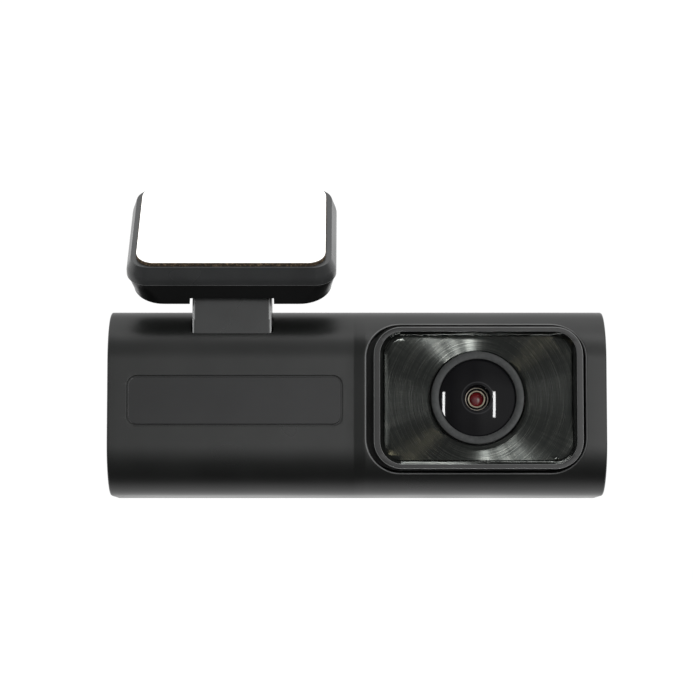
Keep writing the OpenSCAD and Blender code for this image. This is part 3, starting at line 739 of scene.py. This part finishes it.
def lens_profile_piece(name, profile, material, replaces, smooth=40):
    """Ring or cap turned about the lens axis from a closed profile of (radius, depth) pairs."""
    bm = bmesh.new()
    loft(bm, [at_depth(circle(r, 128, (LENS.x, LENS.z)), y) for r, y in profile], in_case, closed=True)
    return finish_mesh(name, bm, "camera", material, replaces, smooth)


def dome(radius, edge_y, bulge, steps=24):
    """Profile of a shallow spherical cap from its rim to its middle, toward the front."""
    sphere = (radius * radius + bulge * bulge) / (2 * bulge)
    radii = [max(radius * (1 - k / steps), 0.0005) for k in range(steps + 1)]
    return [(r, edge_y - (sqrt(sphere * sphere - r * r) - (sphere - bulge))) for r in radii]


def lens_element(name, radius, edge_y, bulge, thick, material, replaces):
    face = dome(radius, edge_y, bulge)
    back = [(r, y + thick) for r, y in reversed(dome(radius, edge_y, bulge * 0.8))]
    return lens_profile_piece(name, face + back, material, replaces, 50)


brushed_metal = brushed_black()
window_frame = build_bezel()
# Painted highlight on the frame's rounded front edges
paint_edge_highlights(window_frame, lambda p, n: p.y < CASE.y + BEZEL_FRONT + 0.25 and 0.35 < -n.y < 0.94)
brushed_cover = build_brushed()

ring_metal = metal("ring_metal", (0.055, 0.057, 0.057), (0.075, 0.077, 0.077), 0.42, 0.52, scale=1500)
barrel_black = plastic("barrel_black", (0.0012, 0.0012, 0.0013), (0.0022, 0.0022, 0.0023), 0.5, 0.65,
                       strength=0.05, ior=1.2)
rf, ro, ri = RING_FRONT, RING_R, GLASS_R + 0.03
lens_profile_piece("ring_trim", [
    (ri, rf + 1.9), (ri, rf + 0.3), (ri + 0.03, rf + 0.14), (ri + 0.1, rf + 0.04), (ri + 0.2, rf),
    (ro - 0.16, rf), (ro - 0.07, rf + 0.03), (ro - 0.02, rf + 0.08), (ro, rf + 0.17), (ro, rf + 1.9),
], ring_metal, ("lens_ring",))


def filter_glass():
    """Tinted clear glass: mostly see-through, with a sharp reflection that the coating tints."""
    paint = Paint("filter_glass")
    film = paint.mottled(90, 2, (0.5, 0.8, 0.75), (0.6, 0.9, 0.85))
    smoke = paint.mottled(60, 2, (0.7, 0.7, 0.7), (0.76, 0.76, 0.76))
    clear = paint.add("BsdfTransparent", {"Color": smoke})
    gloss = paint.add("BsdfGlossy", {"Roughness": 0.02, "Color": film}, distribution="GGX")
    # Only the face toward the viewer mirrors, so that the far side of the glass adds no second reflection
    facing = paint.maths("SUBTRACT", 1, paint.add("NewGeometry").outputs["Backfacing"])
    mirror = paint.maths("MULTIPLY", paint.add("Fresnel", {"IOR": 1.5}).outputs["Fac"], facing)
    paint.show(mirror, clear.outputs["BSDF"], gloss.outputs["BSDF"])
    paint.tree.nodes.remove(paint.surface)
    return paint.material


def dark_glass():
    """Front element: black coated glass that clears to see-through over the stop in its middle."""
    paint = Paint("coated_glass").set(Roughness=0.03, IOR=1.15)
    coat = paint.mottled(120, 2, (0.0032, 0.0032, 0.0036), (0.0046, 0.0046, 0.0052))
    _, reach = paint.from_lens()
    # A dim pale ring is painted on the glass as the highlight that the step of the stop behind it catches
    near_stop = paint.span(reach, 0.0, 1.0, 2.7 * MM, 3.2 * MM)
    black, stop_edge_glint = (0, 0, 0), (0.016, 0.016, 0.017)
    step = paint.ramp(near_stop, [(0.25, black), (0.45, stop_edge_glint), (0.55, stop_edge_glint), (0.8, black)])
    total = paint.add("Mix", {"Factor": 1, "A": coat, "B": step}, data_type="RGBA", blend_type="ADD")
    paint.colour(total.outputs["Result"])
    window_share = paint.span(reach, 0.85, 0.0, 2.35 * MM, 2.5 * MM)
    clear = paint.add("BsdfTransparent")
    paint.show(window_share, paint.surface.outputs["BSDF"], clear.outputs["BSDF"])
    return paint.material


front_coat = dark_glass()
red_coat = Paint("red_coated_glass").set(Roughness=0.04, IOR=1.5)
red_coat.colour(red_coat.mottled(700, 2, (0.09, 0.004, 0.005), (0.2, 0.011, 0.012)))
front_lens = lens_element("front_lens", GLASS_R, RING_FRONT + 0.85, 0.7, 1.0, front_coat, ("front_glass",))
inner_lens = lens_element("inner_lens", 2.58, -9.35, 0.8, 1.1, red_coat.material, ("rear_lens",))

lens_profile_piece("barrel_cover", [
    (8.3, -13.62), (8.3, -7.5), (6.0, -7.4), (6.0, -7.0), (6.0, 0.4), (2.0, 0.4), (2.0, -7.4), (2.6, -7.5),
    (2.6, -10.65), (3.3, -10.65), (3.3, -11.62), (4.0, -11.72), (4.3, -11.9), (4.6, -11.95), (4.9, -12.3),
    (5.2, -12.35), (5.5, -12.75), (5.8, -12.8), (6.1, -13.2), (6.4, -13.25), (7.15, -13.68), (7.2, -13.68),
    (8.2, -13.68),
], barrel_black, ("lens_barrel",), 25)

retainer_metal = metal("retainer_metal", (0.7, 0.62, 0.52), (0.9, 0.82, 0.7), 0.25, 0.35, scale=1200)
lens_profile_piece("iris_stop", [
    (1.32, -10.72), (1.32, -11.2), (1.45, -11.3), (1.72, -11.3), (1.78, -11.2), (1.98, -11.2),
    (2.05, -11.35), (2.3, -11.4), (2.9, -11.4), (2.96, -11.5), (3.12, -11.5), (3.2, -11.4), (3.2, -10.72),
], barrel_black, ("iris_ring",), 30)
iris_trim = lens_profile_piece("iris_trim", [
    (2.02, -11.33), (2.02, -11.5), (2.05, -11.56), (2.11, -11.58), (2.17, -11.56), (2.2, -11.5),
    (2.2, -11.33),
], retainer_metal, (), 30)
bronze_metal = metal("retainer_metal", (0.2, 0.175, 0.13), (0.32, 0.28, 0.21), 0.3, 0.42, scale=1200)
inner_trim = lens_profile_piece("inner_trim", [
    (1.36, -11.28), (1.36, -11.38), (1.42, -11.42), (1.52, -11.43), (1.62, -11.42), (1.68, -11.38),
    (1.68, -11.28),
], bronze_metal, (), 30)


# ---- mount

release_paper = plastic("release_paper", (0.74, 0.74, 0.73), (0.8, 0.8, 0.79), 0.42, 0.55,
                        260, 0.000008, 0.2)
foam_tape = Paint("foam_tape").set(Roughness=0.85)
speckle = foam_tape.noise(2200, 3, 0.7)
foam_tape.colour(foam_tape.ramp(speckle, [(0.36, (0.012, 0.008, 0.004)), (0.55, (0.06, 0.037, 0.018)),
                                          (0.7, (0.3, 0.22, 0.13))]))
foam_tape.bump(speckle, 0.00012, 0.7)
base_plastic = plastic("base_plastic", (0.0165, 0.0172, 0.0175), (0.023, 0.0238, 0.0242), 0.22, 0.3)
housing_plastic = plastic("housing_plastic", (0.0035, 0.0038, 0.0038), (0.006, 0.0064, 0.0064), 0.26, 0.36)

LINER_BACK, FOAM_BACK = -0.15, -0.85


def build_sheet(name, node, size, low, high, rounds, material):
    """Flat sheet on the base; size is its width, length and corner radius."""
    bm = bmesh.new()
    rounded_block(bm, *size, low, high, in_mount, at_height, *rounds)
    return finish_mesh(name, bm, "mount_base", material, (node,), 50)


liner_sheet = build_sheet("liner_sheet", "release_liner", (35.4, 24.5, 3.3), LINER_BACK, 0, (0.02, 0.05),
                          release_paper)
foam_sheet = build_sheet("foam_sheet", "adhesive_foam", (35.6, 24.7, 3.4), FOAM_BACK, LINER_BACK,
                         (0.04, 0.06), foam_tape.material)

# The T channel in the base: its neck and its wide slot
NECK_W, SLOT_W = 20.4, 26.4
CHANNEL_LOW, CHANNEL_HIGH, CHANNEL_END = -3.65, -2.05, -9.4


def mount_loop(w, h, r, n, steps=12):
    """Rounded rectangle across the mount at one height."""
    return at_height(rounded_rect(w, h, r, steps), n)


def build_base():
    """Adhesive base: lip, bevelled rim and wall; the T channel of its slide is cut afterwards."""
    bm = bmesh.new()
    loops = [mount_loop(36.9, 24.7, 3.1, -0.86), mount_loop(37.5, 24.95, 3.3, -0.88)]
    bevel_top, bevel_drop, ease_from = -0.95, 2.6, 0.88
    for t in (0.0, 0.04, 0.12, 0.25, 0.5, 0.75, 0.88, 0.96, 1.0):
        # Straight bevel, eased into the wall over its last eighth
        widen = t - max(0.0, t - ease_from) * 0.5
        w, h, r = 37.7 + 1.8 * widen, 25.1 + 0.9 * widen, 3.4 + 0.6 * t
        loops.append(mount_loop(w, h, r, bevel_top - bevel_drop * t))
    for inset, n in ((0.0, -3.75), (0.0, -4.78), (0.05, -4.88), (0.17, -4.95)):
        loops.append(mount_loop(39.5 - 2 * inset, 26.0 - 2 * inset, 4.0 - inset, n))
    loft(bm, loops, in_mount, capped=True)
    return finish_mesh("base_cover", bm, "mount_base", base_plastic, ("adhesive_base",), 28)


def cut_away(piece, *boxes):
    """Takes boxes out of a piece; each runs from a low to a high corner in the mount's axes."""
    for low, high in boxes:
        bm = bmesh.new()
        corners = ((low[0], low[1]), (high[0], low[1]), (high[0], high[1]), (low[0], high[1]))
        verts = [bm.verts.new(in_mount((x, v, n))) for n in (low[2], high[2]) for x, v in corners]
        for face in ((0, 1, 2, 3), (7, 6, 5, 4), (0, 4, 5, 1), (1, 5, 6, 2), (2, 6, 7, 3), (3, 7, 4, 0)):
            bm.faces.new([verts[i] for i in face])
        bmesh.ops.recalc_face_normals(bm, faces=bm.faces)
        cutter = mesh_object("cutter", bm)
        cut = piece.modifiers.new("cut", "BOOLEAN")
        cut.object, cut.operation, cut.solver = cutter, "DIFFERENCE", "EXACT"
        bpy.context.view_layer.update()
        shaped = bpy.data.meshes.new_from_object(piece.evaluated_get(bpy.context.evaluated_depsgraph_get()))
        piece.modifiers.remove(cut)
        piece.data = shaped
        mesh = cutter.data
        bpy.data.objects.remove(cutter)
        bpy.data.meshes.remove(mesh)


def build_housing():
    """Hinge housing under the base: rounded block, narrower below, with the arm's bay and front notch."""
    bm = bmesh.new()
    bottom, bay_half = -9.97, 7.95
    loops = [mount_loop(38.9, 24.3, 3.9, -5.07, 14), mount_loop(39.1, 24.5, 4.0, -5.17, 14)]
    for t in (0.0, 0.25, 0.5, 0.75, 1.0):
        loops.append(mount_loop(39.1 - 1.5 * t, 24.5, 4.0 + 2.0 * t, -5.5 - 3.9 * t, 14))
    for inset, drop in fillet(0.35, 5):
        loops.append(mount_loop(37.6 - 2 * inset, 24.5 - 2 * inset, 6.0 - inset, bottom + drop, 14))
    loft(bm, loops, in_mount, capped=True)
    piece = finish_mesh("housing_cover", bm, "mount_head", housing_plastic, ("hinge_housing",), 28, False)
    cut_away(piece, ((-bay_half, -11.3, -11.0), (bay_half, 0.2, -6.35)),
             ((-bay_half, -13.0, -11.0), (bay_half, -11.2, -8.45)))


base_cover = build_base()
under = in_mount((0, 0, -1)).normalized()
# Painted highlight on the rounded lower edge of the base's wall, the pale line at its seam with the housing
paint_edge_highlights(base_cover, lambda p, n: 0.2 < n.dot(under) < 0.85 and p.dot(under) > 4.7)
build_housing()
cut_away(base_cover, ((-SLOT_W / 2, CHANNEL_END, CHANNEL_LOW), (SLOT_W / 2, 14, CHANNEL_HIGH)),
         ((-NECK_W / 2, CHANNEL_END, -5.2), (NECK_W / 2, 14, CHANNEL_LOW + 0.02)))

arm_plastic = plastic("arm_plastic", (0.0105, 0.0112, 0.0112), (0.0155, 0.0163, 0.0163), 0.24, 0.32)


def build_arm():
    """Arm from the case up to its hinge barrel, with rounded edges that catch the light."""
    bm = bmesh.new()
    pin, barrel_r, foot, edge = PIN - CASE, 3.2, 12.4, 0.7
    barrel = [(pin.y - barrel_r * cos(k / 24 * pi), pin.z + barrel_r * sin(k / 24 * pi)) for k in range(25)]
    heights = spread(foot, pin.z, 1.5)[1:-1]
    profile = [(ARM_BACK, foot), (ARM_FRONT, foot)] + [(ARM_FRONT, z) for z in heights] + barrel
    profile += [(ARM_BACK, z) for z in spread(pin.z, foot, 1.5)[1:-1]]
    middle = Vector((sum(p[0] for p in profile) / len(profile), sum(p[1] for p in profile) / len(profile)))
    sides = [(ARM_X - ARM_HALF + drop, inset) for inset, drop in reversed(fillet(edge, 6))]
    sides += [(ARM_X + ARM_HALF - drop, inset) for inset, drop in fillet(edge, 6)]
    profile = [Vector(p) for p in profile]
    loops = [[(x, *(p + (middle - p).normalized() * inset)) for p in profile] for x, inset in sides]
    loft(bm, loops, in_case, capped=True)
    rounded_block(bm, 24.0, 5.0, 0.6, -8.0, -5.7, in_case, at_depth, 0.15, 0.15, (ARM_X, 9.0), 5)
    return finish_mesh("arm_cover", bm, "camera", arm_plastic, ("mount_arm",), 35)


arm_cover = build_arm()
# Painted highlight along the arm's rounded front edges
paint_edge_highlights(arm_cover, lambda p, n: p.z > CASE.z + 13 and 0.12 < abs(n.x) < 0.42 and n.y < -0.5)


# ---- back of the case

button_plastic = plastic("button_plastic", (0.02, 0.021, 0.021), (0.032, 0.033, 0.033), 0.34, 0.46)
clear_plastic = Paint("clear_plastic").set(Roughness=0.35, IOR=1.49, Transmission_Weight=0.35)
clear_plastic.colour(clear_plastic.mottled(400, 2, (0.62, 0.66, 0.68), (0.74, 0.78, 0.8)))


def build_button(name, node, body, z, mark):
    """Round key with a dished cap; mark is a raised bar or a raised ring."""
    bm = bmesh.new()
    profile = [(3.0, 8.7), (3.0, 11.0), (4.9, 11.0), (4.9, 12.0), (4.0, 12.2), (4.0, 15.35), (3.9, 15.58),
               (3.7, 15.68), (3.4, 15.69), (2.6, 15.55), (1.4, 15.46), (0.001, 15.44), (0.001, 8.7)]
    loft(bm, [at_depth(circle(r, 72, (KEY_X, z)), y) for r, y in profile], in_case, closed=True)
    if mark == "bar":
        rounded_block(bm, 0.7, 2.2, 0.34, 15.4, 15.62, in_case, at_depth, 0.05, 0.1, (KEY_X, z), 6)
    else:
        ring = ((1.3, 15.4), (1.3, 15.56), (1.22, 15.62), (1.05, 15.62), (0.97, 15.56), (0.97, 15.4))
        loft(bm, [at_depth(circle(r, 48, (KEY_X, z)), y) for r, y in ring], in_case, closed=True)
    finish_mesh(name, bm, body, button_plastic, (node,), 30)


build_button("power_cap", "power_button", "power_key", KEY_Z, "bar")
build_button("snapshot_cap", "snapshot_button", "snapshot_key", -KEY_Z, "ring")

pipe = bmesh.new()
pipe_profile = ((1.8, 5.45), (1.8, 7.0), (1.0, 7.2), (1.0, 14.85), (0.93, 15.02), (0.75, 15.09), (0.4, 15.1))
loft(pipe, [at_depth(circle(r, 32, (KEY_X, 0)), y) for r, y in pipe_profile], in_case, capped=True)
finish_mesh("pipe_cover", pipe, "camera", clear_plastic.material, ("light_pipe",), 35)


# ---- finishes of the CAD pieces that stay

def repaint(material, *names):
    """Gives a finish to CAD pieces that no detailed piece replaces."""
    for name in names:
        for entry in frame["nodes"][name].material_slots:
            entry.material = material


board_green = Paint("circuit_board").set(Roughness=0.4)
traces = board_green.noise(900, 1, 0.4, (1, 0.2, 3))
board_green.colour(board_green.ramp(traces, [(0.42, (0.006, 0.035, 0.016)), (0.5, (0.012, 0.07, 0.03)),
                                             (0.58, (0.03, 0.11, 0.05))]))
board_green.bump(traces, 0.00003, 0.3)

repaint(metal("screw_steel", (0.28, 0.28, 0.29), (0.46, 0.46, 0.47), 0.28, 0.4),
        "slide_plate_screws", "arm_screws", "case_screws", "board_screws", "lens_holder_screws")
repaint(metal("pin_steel", (0.4, 0.4, 0.4), (0.58, 0.58, 0.58), 0.2, 0.32), "hinge_pin")
repaint(metal("spring_steel", (0.22, 0.21, 0.2), (0.4, 0.38, 0.35), 0.3, 0.42), "friction_washers")
repaint(metal("switch_metal", (0.5, 0.5, 0.5), (0.7, 0.7, 0.7), 0.3, 0.4), "button_switches")
repaint(metal("sink_aluminium", (0.55, 0.56, 0.57), (0.72, 0.73, 0.74), 0.35, 0.5, (0.1, 1, 1)), "heat_sink")
repaint(metal("tin_plate", (0.5, 0.5, 0.5), (0.66, 0.66, 0.65), 0.3, 0.42), "microphone", "card_socket")
repaint(metal("connector_steel", (0.5, 0.5, 0.51), (0.68, 0.68, 0.69), 0.24, 0.34), "usb_socket")
repaint(metal("brass_strip", (0.5, 0.36, 0.14), (0.68, 0.5, 0.22), 0.26, 0.4), "wifi_antenna")
repaint(plastic("slider_plastic", (0.014, 0.0145, 0.0145), (0.022, 0.0225, 0.0225), 0.3, 0.42),
        "slide_plate")
repaint(plastic("seal_rubber", (0.012, 0.012, 0.012), (0.02, 0.02, 0.02), 0.6, 0.75),
        "bezel_seal", "lens_seal")
repaint(plastic("holder_plastic", (0.01, 0.01, 0.01), (0.016, 0.016, 0.016), 0.45, 0.6), "lens_holder")
repaint(plastic("sensor_package", (0.02, 0.02, 0.025), (0.035, 0.035, 0.045), 0.2, 0.35), "image_sensor")
repaint(plastic("chip_package", (0.012, 0.012, 0.013), (0.022, 0.022, 0.023), 0.45, 0.6),
        "processor", "memory_chips")
repaint(plastic("thermal_silicone", (0.2, 0.24, 0.3), (0.27, 0.31, 0.37), 0.6, 0.75), "thermal_pad")
repaint(plastic("capacitor_sleeve", (0.01, 0.014, 0.03), (0.018, 0.024, 0.05), 0.25, 0.4), "supercapacitors")
repaint(plastic("speaker_body", (0.012, 0.012, 0.012), (0.03, 0.03, 0.03), 0.4, 0.6), "speaker")
repaint(plastic("card_plastic", (0.015, 0.015, 0.016), (0.026, 0.026, 0.027), 0.35, 0.5), "memory_card")
repaint(plastic("led_resin", (0.5, 0.55, 0.4), (0.62, 0.66, 0.5), 0.25, 0.4), "status_led")
repaint(filter_glass(), "infrared_filter")
repaint(board_green.material, "main_board")


# ---- floor, light and camera

FLOOR_DROP, FLOOR_SIZE = 130, 14
bm = bmesh.new()
bmesh.ops.create_grid(bm, x_segments=2, y_segments=2, size=FLOOR_SIZE)
floor = mesh_object("floor", bm)
floor.location = (0, 0, (CASE.z - FLOOR_DROP) * MM)
floor_paint = Paint("floor").set(Roughness=0.8, Emission_Color=(1, 1, 1, 1), Emission_Strength=0.28)
floor_paint.colour(floor_paint.mottled(3, 2, (0.86, 0.865, 0.87), (0.9, 0.9, 0.9)))
floor.data.materials.append(floor_paint.material)
# The floor shows to the camera only, so that the case keeps the dark underside it has in a light tent
floor.visible_glossy = floor.visible_diffuse = False


def sky():
    """Soft studio surround: it changes round the case's long axis and, in front, from left to right."""
    world = bpy.data.worlds.new("studio")
    bpy.context.scene.world = world
    world.use_nodes = True
    studio = Nodes(world.node_tree)
    way = studio.add("SeparateXYZ", {"Vector": studio.add("TexCoord").outputs["Generated"]}).outputs
    turn = studio.maths("ARCTAN2", way["Z"], studio.maths("MULTIPLY", way["Y"], -1))
    # (degrees up from the front, brightness)
    levels = [(-180, 1.02), (-110, 0.8), (-95, 0.2), (-80, 0.1), (-45, 0.2), (-25, 0.65), (-8, 1.1),
              (10, 1.1), (20, 0.5), (44, 0.5), (62, 1.6), (80, 1.3), (100, 1.15), (125, 0.7), (150, 0.7),
              (165, 1.02), (180, 1.02)]
    stops = [((degrees + 180) / 360, (level, level, level)) for degrees, level in levels]
    round_case = studio.ramp(studio.span(turn, 0, 1, -pi, pi), stops)
    # (left to right, brightness): a gap in the light a little to the left of the camera
    levels = [(-1, 0.8), (-0.6, 0.9), (-0.45, 0.25), (-0.22, 0.25), (-0.1, 1), (0.02, 1), (0.12, 2.2),
              (0.5, 1.8), (1, 1)]
    stops = [((x + 1) / 2, (level, level, level)) for x, level in levels]
    across = studio.ramp(studio.span(way["X"], 0, 1, -1, 1), stops)
    # Only in front, where y is negative
    inputs = {"Factor": studio.span(way["Y"], 0, 1, -0.3, -0.6), "A": round_case, "B": across}
    both = studio.add("Mix", inputs, data_type="RGBA", blend_type="MULTIPLY").outputs["Result"]
    # The camera sees plain white where the object sees the lights
    to_camera = studio.add("LightPath").outputs["Is Camera Ray"]
    seen = studio.add("Mix", {"Factor": to_camera, "A": both, "B": (1.02, 1.02, 1.02, 1)}, data_type="RGBA")
    world.node_tree.links.new(seen.outputs["Result"], world.node_tree.nodes["Background"].inputs["Color"])


sky()


def soft_light(name, place, aim, width, height, power, lit, colour=(1, 1, 1)):
    """Rectangular lamp that lights only the pieces of one group."""
    data = bpy.data.lights.new(name, "AREA")
    data.shape, data.size, data.size_y = "RECTANGLE", width, height
    data.energy, data.color = power, colour
    lamp = bpy.data.objects.new(name, data)
    lamp.location = place
    lamp.rotation_euler = (Vector(aim) - Vector(place)).to_track_quat("-Z", "Y").to_euler()
    bpy.context.collection.objects.link(lamp)
    lamp.light_linking.receiver_collection = lit


def around(azimuth, elevation, distance):
    """Place at an angle from the lens; azimuth 0 is straight in front, positive to the right."""
    a, e = radians(azimuth), radians(elevation)
    return lens_point + Vector((sin(a) * cos(e), -cos(a) * cos(e), sin(e))) * distance


def clock(hour, away, distance):
    """Place seen past an hour of the lens's clock face, away degrees off its axis."""
    a, e = radians(90 - hour * 30), radians(away)
    return lens_point + Vector((cos(a) * sin(e), -cos(e), sin(a) * sin(e))) * distance


def group(name, *pieces):
    """Collection of the pieces that a light falls on; it isn't part of the scene's own tree."""
    found = bpy.data.collections.new(name)
    for piece in pieces:
        found.objects.link(piece)
    return found


lens_point = in_case((LENS.x, FRONT, LENS.z))
arm_point = in_case((ARM_X, ARM_FRONT, 18))
lenses = group("lenses", front_lens, inner_lens)
window_parts = group("window_parts", brushed_cover)
inner_parts = group("inner_parts", iris_trim, inner_trim)
mount_parts = group("mount_parts", liner_sheet, foam_sheet, base_cover)
arm_parts = group("arm_parts", arm_cover, base_cover)
frame_parts = group("frame_parts", window_frame)

# Distances of the lamps from the lens, in metres
NEAR_LAMP, FAN_LAMP = 0.7, 0.8
soft_light("strip_left", around(-17.9, -0.1, NEAR_LAMP), lens_point, 0.017, 0.19, 1.9, lenses)
soft_light("strip_right", around(13.2, -0.1, NEAR_LAMP), lens_point, 0.0185, 0.194, 2.0, lenses)
for side in (-1, 1):
    lamp_place = arm_point + Vector((side * 0.6, -0.36, 0.05))
    soft_light("edge_light", lamp_place, arm_point, 0.08, 0.3, 3, arm_parts)
# Picks out the lower edges of the window frame, which the dark underside of the surround leaves unlit
soft_light("rim_light", clock(6, 62, NEAR_LAMP), lens_point, 0.5, 0.1, 8, frame_parts)
soft_light("lens_fill", around(-3, 9, 0.6), lens_point, 0.3, 0.3, 2.4, inner_parts)
soft_light("pad_light", in_mount((0, 60, 500)), in_mount((0, 0, 0)), 0.5, 0.4, 5, mount_parts)
# Each fan on the brushed face comes from a few narrow lamps, which leave dark streaks between them
for name, away, power, lamps in (("fan_top", 42, 700, ((10.98, 0.025), (11.42, 0.03), (11.92, 0.05))),
                                 ("fan_low", 38, 620, ((5.05, 0.03), (5.5, 0.025), (5.95, 0.045)))):
    for hour, width in lamps:
        soft_light(name, clock(hour, away, FAN_LAMP), lens_point, width, 0.1, power * width, window_parts)
soft_light("fan_gold", clock(7.75, 30, FAN_LAMP), lens_point, 0.12, 0.08, 1.7, window_parts, (1, 0.88, 0.62))
soft_light("fan_side", clock(9.1, 34, FAN_LAMP), lens_point, 0.1, 0.24, 2.4, window_parts)

# The camera's distance from the case's front and its shift left and up, in millimetres
CAMERA_AWAY, CAMERA_LEFT, CAMERA_UP = 470, 1.94, 10.17
camera_data = bpy.data.cameras.new("camera")
camera_data.lens, camera_data.sensor_width = 129.9, 36
camera = bpy.data.objects.new("camera", camera_data)
lift = radians(5.1)
forward, up = Vector((0, cos(lift), sin(lift))), Vector((0, -sin(lift), cos(lift)))
start = Vector((0, FRONT, 0)) - forward * CAMERA_AWAY - Vector((CAMERA_LEFT, 0, 0)) + up * CAMERA_UP
camera.location = in_case(start)
camera.rotation_euler = (pi / 2 + lift, 0, 0)
bpy.context.collection.objects.link(camera)
bpy.context.scene.camera = camera
bpy.context.scene.view_settings.view_transform = "Standard"
